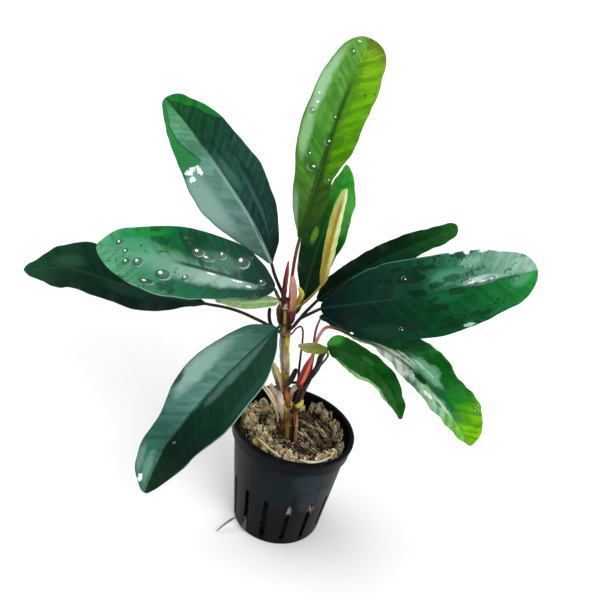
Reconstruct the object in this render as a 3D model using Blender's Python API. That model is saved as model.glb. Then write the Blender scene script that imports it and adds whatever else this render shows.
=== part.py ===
"""Potted bucephalandra: a leafy water plant on an upright stem, rooted in a plug of wool in a slotted net pot.

The origin is the centre of the pot's base, +Z is up and +X is to the right when the plant is seen from its front,
which faces -Y. Each piece is its own object. Lengths are written in millimetres and scaled by MM.
"""

import math

import bmesh
import bpy
from mathutils import Matrix, Vector

MM = 0.001
CUTTER_COLOUR = (0.5, 0.5, 0.5)
CUTTER_ROUGHNESS = 0.5

# The pot
POT_HEIGHT = 50.0
RIM_RADIUS = 25.0
RIM_INNER_RADIUS = 23.4
RIM_THICKNESS = 1.6
RIM_ROUNDING = 0.4
COLLAR_RADIUS = 24.1
COLLAR_DEPTH = 7.5
COLLAR_FLARE = 0.2
COLLAR_STEP = 0.6
BASE_ROUNDING = 0.6
WALL_TOP_RADIUS = 23.0
BASE_RADIUS = 18.5
WALL_THICKNESS = 1.2
FLOOR_THICKNESS = 1.6
POT_SEGMENTS = 48
WALL_SLOTS = 14
WALL_SLOT_FIRST = 0.9
WALL_SLOT_WIDTH = 1.8
WALL_SLOT_BOTTOM = 3.5
WALL_SLOT_TOP = 24.0
WALL_CUT_RADII = (14.0, 24.0)
FLOOR_SLOTS = 8
FLOOR_SLOT_WIDTH = 2.2
FLOOR_SLOT_INNER = 6.5
FLOOR_SLOT_OUTER = 14.5
FLOOR_CUT_HEIGHTS = (-1.0, 2.4)

# The thin pot is pressed oval: its long side's direction, and how much longer than its short side it is at the rim
SQUEEZE_DEGREES = -36.0
SQUEEZE_RATIO = 1.15

# The plant leans in the pot: turned about this axis through the middle of the rim, then moved over a little
LEAN_AXIS = Vector((0.0, 0.853, -0.522))
LEAN_DEGREES = 7.5
LEAN_SHIFT = Vector((1.6, -0.3, -0.4))

# The plug of wool that the plant is rooted in
PLUG_GAP = 0.5
PLUG_TOP = 47.0
PLUG_TOP_RADIUS = 20.4
PLUG_TOP_ROUNDING = 0.9
PLUG_SHOULDER_DROP = 2.6
PLUG_WAIST_HEIGHT = 40.0
PLUG_FLOOR_RADIUS = 2.0
PLUG_TOP_RINGS = (16.0, 12.0, 8.0, 4.0, 1.5)
PLUG_SEGMENTS = 28
PLUG_HOLLOW_DEPTH = 2.6
PLUG_HOLLOW_RADIUS = 9.0
SOCKET_GAP = 0.5
SOCKET_SIDES = 12

# Leaves: half of a blade's thickness, and how many points a section through a blade has on its upper side
BLADE_HALF_THICKNESS = 0.32
BLADE_ACROSS = (-1.0, -0.62, -0.25, 0.0, 0.25, 0.62, 1.0)
TIP_HALF_WIDTH = 0.25

# Sides of a stem or root, and how far to either side of a place on a curve its direction is taken
TUBE_SIDES = 8
LOOK_AHEAD = 0.05


def clear_scene():
    for old in list(bpy.data.objects):
        bpy.data.objects.remove(old, do_unlink=True)


def finish_material(name, colour, roughness):
    material = bpy.data.materials.new(name)
    material.use_nodes = True
    shader = material.node_tree.nodes["Principled BSDF"]
    shader.inputs["Base Color"].default_value = (*colour, 1.0)
    shader.inputs["Roughness"].default_value = roughness
    material.diffuse_color = (*colour, 1.0)
    return material


def add_object(name, bm, colour, roughness, smooth_angle=50.0):
    bmesh.ops.recalc_face_normals(bm, faces=bm.faces)
    mesh = bpy.data.meshes.new(name)
    bm.to_mesh(mesh)
    bm.free()
    mesh.shade_smooth()
    mesh.set_sharp_from_angle(angle=math.radians(smooth_angle))
    piece = bpy.data.objects.new(name, mesh)
    bpy.context.scene.collection.objects.link(piece)
    mesh.materials.append(finish_material(name + "_finish", colour, roughness))
    return piece


def leaned(point):
    """A point of the plant, given as if it stood upright, where it is in the pot."""
    pivot = Vector((0.0, 0.0, POT_HEIGHT))
    turn = Matrix.Rotation(math.radians(LEAN_DEGREES), 3, LEAN_AXIS)
    return tuple(pivot + turn @ (Vector(point) - pivot) + LEAN_SHIFT)


def leaned_direction(direction):
    return Matrix.Rotation(math.radians(LEAN_DEGREES), 3, LEAN_AXIS) @ Vector(direction)


def squeezed(point):
    """A point of the round pot, or of what is in it, moved to where the oval pot has it."""
    ratio = 1.0 + (SQUEEZE_RATIO - 1.0) * max(0.0, point.z) / POT_HEIGHT
    turn = Matrix.Rotation(math.radians(SQUEEZE_DEGREES), 3, "Z")
    along = turn.inverted() @ point
    return turn @ Vector((along.x * math.sqrt(ratio), along.y / math.sqrt(ratio), along.z))


def close_rings(bm, rings):
    """Joins closed rings of points in order and caps both ends."""
    made = [[bm.verts.new(point * MM) for point in ring] for ring in rings]
    count = len(made[0])
    for near, far in zip(made, made[1:]):
        for i in range(count):
            j = (i + 1) % count
            bm.faces.new((near[i], near[j], far[j], far[i]))
    bm.faces.new(list(reversed(made[0])))
    bm.faces.new(made[-1])


def between(start, end, leaving, arriving, f):
    """A cubic from start to end that leaves and arrives with the given slopes, at the share f of the way."""
    ease = f * f * (3 - 2 * f)
    return start * (1 - ease) + end * ease + leaving * (f * (1 - f) ** 2) - arriving * (f * f * (1 - f))


def span_at(values, at):
    """The four neighbouring values round a place on a curve, and how far it lies between the middle two."""
    spans = len(values) - 1
    i = min(int(at), spans - 1)
    b, c = values[i], values[i + 1]
    a = values[i - 1] if i > 0 else 2 * b - c
    d = values[i + 2] if i + 2 <= spans else 2 * c - b
    return a, b, c, d, at - i


def smooth_curve(points, at):
    """The point of a smooth curve through the points, where at runs from 0 to the number of spans."""
    a, b, c, d, f = span_at([Vector(point) for point in points], at)
    length = (c - b).length
    leaving = (c - a) * (length / ((b - a).length + length))
    arriving = (d - b) * (length / ((d - c).length + length))
    return between(b, c, leaving, arriving, f)


def smooth_value(values, at):
    """The same for plain numbers at even steps."""
    a, b, c, d, f = span_at(values, at)
    return between(b, c, (c - a) / 2, (d - b) / 2, f)


def tube_rings(points, radii, steps, sides=TUBE_SIDES):
    """Rings round a smooth curve through the points, with its radius given at each of them."""
    spans = len(points) - 1
    rings = []
    across = Vector((0.0, 1.0, 0.0))
    for step in range(steps + 1):
        at = spans * step / steps
        centre = smooth_curve(points, at)
        ahead = smooth_curve(points, min(at + LOOK_AHEAD, spans)) - smooth_curve(points, max(at - LOOK_AHEAD, 0.0))
        ahead.normalize()
        across = (across - across.dot(ahead) * ahead).normalized()
        other = ahead.cross(across)
        radius = smooth_value(radii, at)
        turns = [2 * math.pi * i / sides for i in range(sides)]
        rings.append([centre + radius * (math.cos(t) * across + math.sin(t) * other) for t in turns])
    return rings


def add_tube(name, points, radii, colour, roughness=0.5, steps=None):
    bm = bmesh.new()
    close_rings(bm, tube_rings(points, radii, steps or 2 * (len(points) - 1)))
    return add_object(name, bm, colour, roughness)


def blade_ring(centre, side, face, left, right, top, bottom, fold):
    """A closed section through a blade: its upper side from the left margin to the right, then back below."""
    upper, lower = [], []
    for v in BLADE_ACROSS:
        width = right if v > 0 else left
        hump = math.sqrt(max(0.0, 1.0 - v * v))
        middle = centre + side * (v * width) + face * (fold * abs(v) * width)
        upper.append(middle + face * (top * hump))
        if abs(v) < 1.0:
            lower.append(middle - face * ((bottom if v == 0.0 else top) * hump))
    return upper + lower[::-1]


def add_leaf(name, stalk, rib, left, right, faces, colour, roughness=0.35, fold=0.12, stalk_radius=(0.65, 0.6)):
    """One leaf in one piece: a stalk that runs on as the rib of a blade.

    The stalk's points lead up to the rib's first point. left and right are the blade's half-widths at places
    spaced as a cosine from the rib's base to its tip, and faces are the directions that its upper side looks in
    at the base and at the tip.
    """
    spine = list(stalk) + list(rib)
    first = len(stalk)
    spans = len(rib) - 1
    base_face, tip_face = Vector(faces[0]), Vector(faces[1])
    bm = bmesh.new()
    rings = []

    def section(at, towards_tip, widths, top, bottom, lift):
        centre = smooth_curve(spine, at)
        end = len(spine) - 1
        ahead = smooth_curve(spine, min(at + LOOK_AHEAD, end)) - smooth_curve(spine, max(at - LOOK_AHEAD, 0.0))
        ahead.normalize()
        face = base_face.lerp(tip_face, towards_tip)
        face = (face - face.dot(ahead) * ahead).normalized()
        rings.append(blade_ring(centre, ahead.cross(face), face, *widths, top, bottom, lift))

    stalk_steps = 2 * first
    for step in range(stalk_steps):
        at = step / 2
        radius = stalk_radius[0] + (stalk_radius[1] - stalk_radius[0]) * step / max(1, stalk_steps)
        section(at, 0.0, (radius, radius), radius, radius, 0.0)
    stations = len(left) - 1
    for k in range(stations + 1):
        along = (1 - math.cos(math.pi * k / stations)) / 2
        widths = (max(left[k], TIP_HALF_WIDTH), max(right[k], TIP_HALF_WIDTH))
        rib_depth = stalk_radius[1] + (BLADE_HALF_THICKNESS - stalk_radius[1]) * along
        top = stalk_radius[1] if k == 0 and first else BLADE_HALF_THICKNESS
        section(first + spans * along, along, widths, top, rib_depth, fold if k else 0.0)
    close_rings(bm, rings)
    return add_object(name, bm, colour, roughness)


def turned_solid(name, profile, segments, colour, roughness):
    """A solid of revolution about Z from a closed (radius, height) outline whose two ends lie on the axis."""
    bm = bmesh.new()
    low = bm.verts.new((0.0, 0.0, profile[0][1] * MM))
    high = bm.verts.new((0.0, 0.0, profile[-1][1] * MM))
    rings = []
    for radius, height in profile[1:-1]:
        turns = [2 * math.pi * i / segments for i in range(segments)]
        round_ring = [Vector((radius * math.cos(t), radius * math.sin(t), height)) for t in turns]
        rings.append([bm.verts.new(squeezed(point) * MM) for point in round_ring])
    for near, far in zip(rings, rings[1:]):
        for i in range(segments):
            j = (i + 1) % segments
            bm.faces.new((near[i], near[j], far[j], far[i]))
    for i in range(segments):
        j = (i + 1) % segments
        bm.faces.new((low, rings[0][j], rings[0][i]))
        bm.faces.new((high, rings[-1][i], rings[-1][j]))
    return add_object(name, bm, colour, roughness, smooth_angle=30.0)


def box_around(bm, angle, near, far, width, bottom, top):
    """A block that points outwards from the axis at an angle, from radius near to radius far."""
    outward = Vector((math.cos(angle), math.sin(angle), 0.0))
    sideways = Vector((-math.sin(angle), math.cos(angle), 0.0)) * (width / 2)
    ring = [outward * near - sideways, outward * far - sideways, outward * far + sideways, outward * near + sideways]
    lower = [bm.verts.new((p + Vector((0, 0, bottom))) * MM) for p in ring]
    upper = [bm.verts.new((p + Vector((0, 0, top))) * MM) for p in ring]
    bm.faces.new(lower[::-1])
    bm.faces.new(upper)
    for i in range(4):
        j = (i + 1) % 4
        bm.faces.new((lower[i], lower[j], upper[j], upper[i]))


def cut(piece, cutter):
    cutter.hide_render = True
    cutter.display_type = "WIRE"
    boolean = piece.modifiers.new("cut", "BOOLEAN")
    boolean.operation = "DIFFERENCE"
    boolean.object = cutter


def build_pot():
    collar_bottom = POT_HEIGHT - COLLAR_DEPTH
    inner_base = BASE_RADIUS - WALL_THICKNESS
    inner_top = WALL_TOP_RADIUS - WALL_THICKNESS
    profile = [
        (0.0, 0.0),
        (BASE_RADIUS - BASE_ROUNDING, 0.0),
        (BASE_RADIUS, BASE_ROUNDING),
        (WALL_TOP_RADIUS, collar_bottom),
        (COLLAR_RADIUS, collar_bottom + COLLAR_STEP),
        (COLLAR_RADIUS + COLLAR_FLARE, POT_HEIGHT - RIM_THICKNESS - RIM_ROUNDING),
        (RIM_RADIUS, POT_HEIGHT - RIM_THICKNESS),
        (RIM_RADIUS, POT_HEIGHT - RIM_ROUNDING),
        (RIM_RADIUS - RIM_ROUNDING, POT_HEIGHT),
        (RIM_INNER_RADIUS, POT_HEIGHT),
        (COLLAR_RADIUS - WALL_THICKNESS, collar_bottom + COLLAR_STEP),
        (inner_top, collar_bottom - COLLAR_STEP),
        (inner_base, FLOOR_THICKNESS),
        (0.0, FLOOR_THICKNESS),
    ]
    pot = turned_solid("pot", profile, POT_SEGMENTS, (0.02, 0.024, 0.027), 0.35)
    bm = bmesh.new()
    for i in range(WALL_SLOTS):
        angle = 2 * math.pi * (i + WALL_SLOT_FIRST) / WALL_SLOTS
        box_around(bm, angle, *WALL_CUT_RADII, WALL_SLOT_WIDTH, WALL_SLOT_BOTTOM, WALL_SLOT_TOP)
    for i in range(FLOOR_SLOTS):
        angle = 2 * math.pi * (i + 0.5) / FLOOR_SLOTS
        box_around(bm, angle, FLOOR_SLOT_INNER, FLOOR_SLOT_OUTER, FLOOR_SLOT_WIDTH, *FLOOR_CUT_HEIGHTS)
    cut(pot, add_object("pot_slot_cutter", bm, CUTTER_COLOUR, CUTTER_ROUGHNESS))


def plug_surface(x, y):
    """The plug's lumpy top: ridges of packed wool with a hollow round the stems."""
    ridges = 0.7 * math.sin(0.42 * x + 0.9) * math.cos(0.38 * y) + 0.5 * math.sin(0.31 * (x + y))
    hollow = PLUG_HOLLOW_DEPTH * math.exp(-((x + 1.0) ** 2 + y**2) / PLUG_HOLLOW_RADIUS**2)
    return PLUG_TOP + ridges - hollow


def build_growing_medium():
    floor = FLOOR_THICKNESS + PLUG_GAP
    base = BASE_RADIUS - WALL_THICKNESS - PLUG_GAP
    waist_growth = (WALL_TOP_RADIUS - BASE_RADIUS) * PLUG_WAIST_HEIGHT / (POT_HEIGHT - COLLAR_DEPTH)
    bm = bmesh.new()
    turns = [2 * math.pi * i / PLUG_SEGMENTS for i in range(PLUG_SEGMENTS)]

    def level(radius, height):
        return [squeezed(Vector((radius * math.cos(t), radius * math.sin(t), height))) for t in turns]

    def top_level(radius):
        return [Vector((p.x, p.y, plug_surface(p.x, p.y))) for p in level(radius, PLUG_TOP)]

    rings = [level(PLUG_FLOOR_RADIUS, floor), level(base, floor)]
    rings += [level(base + waist_growth - PLUG_GAP, PLUG_WAIST_HEIGHT)]
    rings += [level(PLUG_TOP_RADIUS, PLUG_TOP - PLUG_SHOULDER_DROP)]
    rings += [top_level(radius) for radius in (PLUG_TOP_RADIUS - PLUG_TOP_ROUNDING, *PLUG_TOP_RINGS)]
    close_rings(bm, rings)
    plug = add_object("growing_medium", bm, (0.30, 0.23, 0.13), 0.95)
    for name, points, radii, steps in (MAIN_STEM, SIDE_STEM):
        bm = bmesh.new()
        start, next_point = Vector(leaned(points[0])), Vector(leaned(points[1]))
        rise = next_point - start
        bore = [start - rise.normalized() * SOCKET_GAP, start + rise * 2]
        close_rings(bm, tube_rings(bore, [radii[0] + SOCKET_GAP] * 2, 1, sides=SOCKET_SIDES))
        cut(plug, add_object(name + "_socket_cutter", bm, CUTTER_COLOUR, CUTTER_ROUGHNESS))


# Each stem: name, points from the foot in the plug upwards, radii at those points, steps along it
MAIN_STEM = (
    "main_stem",
    [(-2.2, 0, 36), (-3.2, 0, 44), (-6, 0, 55), (-8.2, 0, 63), (-11.4, 0, 75), (-14, 0, 84), (-15.9, 0, 93),
     (-17.2, 0, 99.5), (-18.8, 0, 104.5)],
    [1.5, 1.6, 1.6, 1.3, 1.8, 2.0, 2.1, 1.9, 1.5],
    16,
)
SIDE_STEM = (
    "side_stem",
    [(2.2, -0.5, 36), (0, -1, 47.5), (-2.3, -2, 57), (-2.7, -3, 64), (-2.3, -4.5, 71.5), (-1.5, -6, 78)],
    [1.3, 1.4, 1.5, 1.5, 1.35, 1.25],
    10,
)

# Short pieces on the stems: name, points, radii, colour
BITS = [
    ("crown_sheath", [(-15.2, -2.1, 103), (-16.4, -2.1, 108), (-17.7, -1.8, 113), (-19.2, -1.2, 117.5)],
     [0.7, 1.35, 1.35, 0.7], (0.45, 0.25, 0.15)),
    ("crown_spear", [(-19.9, -2.0, 106.6), (-21, -1.4, 112.5), (-21.8, -0.8, 118), (-22.4, -0.2, 122.5)],
     [0.9, 0.95, 0.8, 0.3], (0.13, 0.02, 0.015)),
    ("curled_scale", [(-15.2, 1.2, 103.8), (-14.2, 1.8, 106.7), (-14.2, 1.2, 110), (-15.8, 0.6, 112.5)],
     [0.5, 0.95, 1.0, 0.5], (0.55, 0.45, 0.05)),
    ("cut_stalk_left", [(-18.0, 1.7, 90), (-21.5, 2.4, 91.2), (-23.3, 2.2, 94.5), (-24.2, 2.0, 99)],
     [0.6, 0.7, 0.75, 0.7], (0.05, 0.03, 0.02)),
    ("brown_sheath", [(-9.8, -3.0, 66), (-12.3, -3.8, 71.5), (-15.4, -4.4, 77), (-17.0, -4.8, 80)],
     [0.7, 1.5, 1.4, 0.5], (0.16, 0.09, 0.04)),
    ("stem_stub", [(-8.6, -3.0, 70.5), (-7.9, -3.2, 74), (-7.4, -3.2, 79.5)], [0.7, 1.1, 0.9],
     (0.04, 0.02, 0.01)),
    ("red_spear", [(-4.3, -8.2, 75.5), (-4.0, -9.0, 81.5), (-3.6, -9.8, 87.5), (-3.2, -10.6, 93)],
     [1.2, 1.5, 1.25, 0.4], (0.42, 0.06, 0.03)),
    ("air_root", [(-13.2, 0.6, 91.5), (-12, 0.8, 94.6), (-10.5, 0.7, 96), (-9.1, 0.6, 93.6), (-7.7, 0.5, 86),
                  (-6.2, 0.2, 77), (-5.2, 0.0, 71), (-7.7, 0.4, 69.6)],
     [0.3, 0.4, 0.4, 0.4, 0.45, 0.5, 0.5, 0.3], (0.03, 0.02, 0.015)),
    ("root_dry", [(-18.3, -8, 70), (-14.2, -6.4, 65), (-10.4, -4.6, 59), (-8.4, -3.4, 53.5), (-7.8, -2.9, 51)],
     [0.25, 0.4, 0.45, 0.45, 0.4], (0.55, 0.45, 0.30)),
]

# Roots that lie on the plug or come out of a slot, placed in the pot: name, points, radii, colour
ROOTS = [
    ("root_left", [(-13.2, -12.4, 49.6), (-9.6, -15.8, 49.6), (-6, -18.9, 49.5), (-2.6, -20.8, 49.2)],
     [0.3, 0.45, 0.45, 0.3], (0.70, 0.65, 0.40)),
    ("root_front", [(4.8, -20.6, 49.2), (9, -21.2, 49.3), (12.6, -19.9, 49.3), (17, -15.6, 49.2)],
     [0.3, 0.5, 0.5, 0.3], (0.75, 0.70, 0.55)),
    ("root_outside", [(-16.6, -11.4, 4.4), (-18.4, -12.6, 3.6), (-20.7, -14.8, 2.6), (-23.4, -17.8, 0.8)],
     [0.4, 0.45, 0.35, 0.25], (0.35, 0.22, 0.10)),
]

# Each leaf: stalk and rib points, left and right half-widths from base to tip, the two directions it faces
LEAVES = [
    dict(
        name="leaf_upright",
        stalk=[(-17.9, 1.1, 106.2), (-18.7, 1.3, 111), (-19.9, 1.5, 118.5), (-20.7, 1.7, 126)],
        rib=[(-21, 2, 132), (-21, 4, 150.5), (-20.8, 6, 169.5), (-20, 9.5, 188), (-18, 14, 206.5)],
        left=[0.6, 1.5, 4, 7, 9, 11.5, 11.5, 10.5, 8.5, 5, 0.5],
        right=[0.6, 1.5, 3.5, 6, 5.5, 9, 9.5, 10, 9, 6, 0.5],
        faces=[(-0.1, -1, 0.15), (0.1, -0.9, 0.5)], colour=(0.10, 0.32, 0.03),
    ),
    dict(
        name="leaf_behind",
        stalk=[(-15.8, 3.1, 97.3), (-13.6, 5, 99.5)],
        rib=[(-13, 6, 104.5), (-13.5, 9, 118), (-13.5, 12, 131.5), (-13, 14, 145), (-12.5, 16, 159)],
        left=[0.6, 1, 3, 5, 6.5, 6.5, 5, 3.5, 2, 1, 0],
        right=[0.6, 1.5, 4, 6, 7.5, 9, 8.5, 7.5, 5, 2, 0],
        faces=[(0, -1, 0.1), (0, -0.95, 0.3)], colour=(0.03, 0.16, 0.04),
    ),
    dict(
        name="leaf_upper_left",
        stalk=[(-21.2, 1.2, 107.4), (-23.4, 2, 110), (-26, 3.2, 113)],
        rib=[(-28.5, 4, 117), (-41, 10, 129), (-55, 16, 139), (-69, 19, 150), (-84, 22, 160)],
        left=[0.6, 2, 5, 9.5, 13.5, 14, 12, 9.5, 6, 3, 0],
        right=[0.6, 2, 6, 10, 13, 14.5, 13, 11.5, 8, 5, 0],
        faces=[(0.1, -0.9, 0.45), (0.25, -0.85, 0.5)], colour=(0.02, 0.11, 0.08), fold=0.2,
    ),
    dict(
        name="leaf_left_wet",
        stalk=[(-22.4, -1.4, 107.2)],
        rib=[(-24.5, -3, 111), (-40.5, -7.5, 113), (-56.5, -12, 115), (-73.5, -14, 115), (-90, -16, 113.5)],
        left=[0.6, 3, 6, 8, 10.5, 13, 14, 12, 8.5, 4, 0],
        right=[0.6, 3, 7.5, 12, 13.5, 14, 12.5, 10, 7.5, 3, 0],
        faces=[(0.1, -0.75, 0.65), (-0.1, -0.6, 0.8)], colour=(0.03, 0.22, 0.10), fold=0.05,
    ),
    dict(
        name="leaf_left_dark",
        stalk=[(-19.1, -0.4, 91.8), (-25.5, 0.5, 92.8), (-37, 1.5, 93.6)],
        rib=[(-48.5, 2, 92), (-67.5, 5, 87), (-87, 8, 85), (-106.5, 10, 83), (-124.5, 12, 74.5)],
        left=[0.5, 1, 2.5, 5.5, 8, 8, 7.5, 8, 4.5, 2, 0],
        right=[0.5, 1.5, 3.5, 6, 8, 10, 12, 9.5, 4.5, 2.5, 0],
        faces=[(0, -0.8, 0.6), (-0.2, -0.7, 0.7)], colour=(0.015, 0.07, 0.04),
    ),
    dict(
        name="leaf_front",
        stalk=[(-17.9, -3.1, 96)],
        rib=[(-19.2, -4.4, 95.4), (-29, -19.5, 84.5), (-38, -34.5, 72.5), (-45.5, -39.5, 53), (-48.5, -44, 32)],
        left=[0.6, 2.5, 7.5, 12, 14, 14.5, 12, 10, 6, 2.5, 0],
        right=[0.6, 3.5, 8.5, 11.5, 13.5, 12.5, 8.5, 8.5, 7, 3, 0],
        faces=[(-0.15, -0.65, 0.75), (-0.2, -0.95, 0.2)], colour=(0.02, 0.13, 0.09),
    ),
    dict(
        name="leaf_right",
        stalk=[(-13.9, -2, 95.6), (-11.9, -2.5, 101.2), (-8.9, -2, 104.4)],
        rib=[(-5.5, -1, 107.5), (11.5, -4, 118.5), (28, -7.5, 130), (45, -7, 141), (62, -6, 152.5)],
        left=[0.6, 3, 6.5, 11.5, 13.5, 14, 13, 11.5, 8.5, 5, 0],
        right=[0.6, 4, 8, 12.5, 14.5, 15.5, 15, 12.5, 9.5, 5, 0],
        faces=[(-0.1, -0.8, 0.6), (0.15, -0.8, 0.6)], colour=(0.02, 0.14, 0.07), fold=0.08,
    ),
    dict(
        name="leaf_right_behind",
        stalk=[(-13.5, 2, 93.7), (-11.2, 3, 99.8), (-9.5, 4, 103.2)],
        rib=[(-7.5, 5, 107), (1.5, 9.5, 118), (11.5, 14, 128), (22.5, 17, 137.5), (34, 20, 147)],
        left=[0.5, 1.5, 4.5, 5, 5, 5, 5, 4, 2.5, 2, 0],
        right=[0.5, 1.5, 3.5, 5.5, 6.5, 6, 5, 4, 4, 3, 0],
        faces=[(0, -0.8, 0.6), (0.1, -0.7, 0.7)], colour=(0.02, 0.12, 0.03),
    ),
    dict(
        name="leaf_low_narrow",
        stalk=[(-1.4, -6.3, 79), (0.1, -7.8, 86), (0.1, -7.8, 91.5)],
        rib=[(1.4, -8, 96), (8.5, -11.5, 99), (18, -17, 100), (27.5, -22, 96), (34.5, -26, 88)],
        left=[1.2, 3, 5, 5.5, 4.5, 4.5, 4.5, 3.5, 3, 1, 0],
        right=[1, 1.5, 3.5, 4.5, 6, 6, 4, 4, 2, 1, 0],
        faces=[(-0.1, -0.8, 0.6), (0.3, -0.9, 0.3)], colour=(0.02, 0.20, 0.01), stalk_radius=(1.1, 0.6),
    ),
    dict(
        name="leaf_low_right",
        stalk=[(-2, -5.4, 82.5), (-3.1, -3.6, 90.5), (-3, -2.2, 96), (-1.2, 0, 99.6), (3.5, 0.6, 100)],
        rib=[(9, -1, 100), (23, -7, 102), (37, -13.5, 99.5), (50, -20, 94), (62, -26, 86)],
        left=[0.6, 2, 3.5, 6.5, 10.5, 12, 10, 11, 8.5, 5, 0],
        right=[0.6, 0.6, 0.8, 1.5, 3.5, 4.5, 4.5, 4.5, 3, 1, 0],
        faces=[(0.1, -0.8, 0.6), (0.4, -0.85, 0.3)], colour=(0.12, 0.33, 0.14), fold=0.2,
    ),
    dict(
        name="leaf_small_pale",
        stalk=[],
        rib=[(-21.8, -2.6, 105.8), (-27, -5.5, 105.5), (-32.5, -8, 104.5), (-38.5, -9, 103.5), (-44, -10, 102.5)],
        left=[0.7, 1.8, 2.4, 2.2, 1, 0], right=[0.6, 1.8, 2.6, 2, 1, 0],
        faces=[(0, -0.8, 0.6), (0, -0.8, 0.6)], colour=(0.30, 0.48, 0.17), stalk_radius=(0.6, 0.5),
    ),
    dict(
        name="leaf_small_olive",
        stalk=[(-0.2, -10.2, 86.5), (1.4, -11.2, 91.5), (2.2, -11, 95)],
        rib=[(1, -10.6, 96.6), (-1.5, -12, 97.4), (-4, -13.5, 97.8), (-6.5, -15, 98), (-9.5, -16, 98.5)],
        left=[0.8, 1.8, 2.2, 2, 1, 0], right=[0.6, 1.2, 1.8, 2, 1.2, 0],
        faces=[(0, -0.9, 0.4), (0, -0.9, 0.4)], colour=(0.28, 0.28, 0.04), stalk_radius=(0.45, 0.45),
    ),
    dict(
        name="leaf_small_back",
        stalk=[(-2.3, -3, 83), (-3.4, -1, 88.5), (-4.7, 1.3, 96.2)],
        rib=[(-4.4, 3.2, 100.4), (-2, 4.6, 100.8), (1.6, 5, 99.4), (5, 5, 98.4), (8.4, 5, 97.4)],
        left=[0.5, 1.2, 1.8, 1.8, 1.2, 0], right=[0.5, 1.2, 1.8, 1.8, 1.2, 0],
        faces=[(0, -0.8, 0.6), (0, -0.8, 0.6)], colour=(0.04, 0.15, 0.04), stalk_radius=(0.5, 0.4),
    ),
    dict(
        name="young_leaf",
        stalk=[(-15.5, 2.3, 100), (-12.5, 3.1, 104.6), (-10.2, 3, 109.2)],
        rib=[(-8, 1.8, 115.5), (-8.8, 2.5, 125), (-9.5, 4, 134.5), (-10, 6, 144), (-10, 8, 153.5)],
        left=[0.5, 1.6, 2.2, 2.8, 2.8, 0.3], right=[0.5, 1.6, 2.4, 2, 1.8, 0.3],
        faces=[(0, -1, 0.2), (0, -1, 0.2)], colour=(0.55, 0.52, 0.10), fold=-0.5, stalk_radius=(0.5, 0.45),
    ),
]


def main():
    clear_scene()
    build_pot()
    build_growing_medium()
    for (name, points, radii, steps), colour in ((MAIN_STEM, (0.30, 0.24, 0.06)), (SIDE_STEM, (0.06, 0.03, 0.03))):
        add_tube(name, [leaned(point) for point in points], radii, colour, steps=steps)
    for name, points, radii, colour in BITS:
        add_tube(name, [leaned(point) for point in points], radii, colour)
    for name, points, radii, colour in ROOTS:
        add_tube(name, points, radii, colour)
    for leaf in LEAVES:
        placed = {key: [leaned(point) for point in leaf[key]] for key in ("stalk", "rib")}
        faces = [leaned_direction(direction) for direction in leaf["faces"]]
        add_leaf(**{**leaf, **placed, "faces": faces})


main()
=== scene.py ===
# %% [markdown]
# # A potted bucephalandra
# This lesson gives a small water plant its looks: long wet leaves on an upright rhizome, rooted in wool in a
# thin black net pot. The solid parts come in as a fixed frame. Each one is replaced by a finer piece that
# stands in the same place, because a leaf needs a rib, veins, a wavy edge and a wet gloss that no plain solid has.

# %% Load the frame
import math
import random

import bpy
from mathutils import Matrix, Vector, noise


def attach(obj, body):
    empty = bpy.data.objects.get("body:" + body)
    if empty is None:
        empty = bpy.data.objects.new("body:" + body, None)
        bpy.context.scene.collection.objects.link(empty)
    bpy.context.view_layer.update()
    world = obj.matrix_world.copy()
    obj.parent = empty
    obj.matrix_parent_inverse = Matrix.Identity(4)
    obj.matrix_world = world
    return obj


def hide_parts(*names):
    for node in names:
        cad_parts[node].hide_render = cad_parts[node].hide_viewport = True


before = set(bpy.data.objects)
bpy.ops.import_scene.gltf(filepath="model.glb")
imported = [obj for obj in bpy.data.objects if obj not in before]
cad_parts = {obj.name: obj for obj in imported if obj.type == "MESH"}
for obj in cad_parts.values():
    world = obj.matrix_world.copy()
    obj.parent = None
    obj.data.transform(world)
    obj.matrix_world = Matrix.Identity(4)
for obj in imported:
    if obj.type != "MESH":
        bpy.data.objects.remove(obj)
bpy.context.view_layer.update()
MM = 0.001
random.seed(11)
print("nodes in the frame:", len(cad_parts))

# %% [markdown]
# ## Choosing and finishing pieces
# An operator works on everything that is chosen, so each step first drops what was chosen before. A finished piece
# rides on the plant's one body and takes the place of its solid.


# %% Helpers for pieces
def choose(*pieces):
    """Drops the old choice and chooses these pieces; the last one is active."""
    bpy.ops.object.select_all(action="DESELECT")
    for piece in pieces:
        piece.select_set(True)
    bpy.context.view_layer.objects.active = pieces[-1]


def apply_modifiers(piece):
    choose(piece)
    for modifier in list(piece.modifiers):
        bpy.ops.object.modifier_apply(modifier=modifier.name)


def in_edit_mode(piece, *steps):
    """Runs edit-mode steps on every part of a piece."""
    choose(piece)
    bpy.ops.object.mode_set(mode="EDIT")
    bpy.ops.mesh.select_all(action="SELECT")
    for step in steps:
        step()
    bpy.ops.object.mode_set(mode="OBJECT")


def merge_doubles():
    bpy.ops.mesh.remove_doubles(threshold=0.004 * MM)


def turn_faces_out():
    bpy.ops.mesh.normals_make_consistent(inside=False)


def joined(name, *pieces):
    choose(*pieces)
    bpy.ops.object.join()
    whole = bpy.context.object
    whole.name = whole.data.name = name
    return whole


def place(piece, node, smooth_angle=60.0):
    """Finishes a piece: smooth faces, its body and the solid that it stands for."""
    choose(piece)
    bpy.ops.object.shade_smooth_by_angle(angle=math.radians(smooth_angle))
    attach(piece, "root")
    if node:
        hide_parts(node)
    print(piece.name, len(piece.data.polygons), "faces")


def tone(red, green, blue):
    """A colour as seen on a screen, from 0 to 255, as the light that a shader works with."""
    shares = [value / 255 for value in (red, green, blue)]
    return (*(s / 12.92 if s < 0.04045 else ((s + 0.055) / 1.055) ** 2.4 for s in shares), 1.0)


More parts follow.
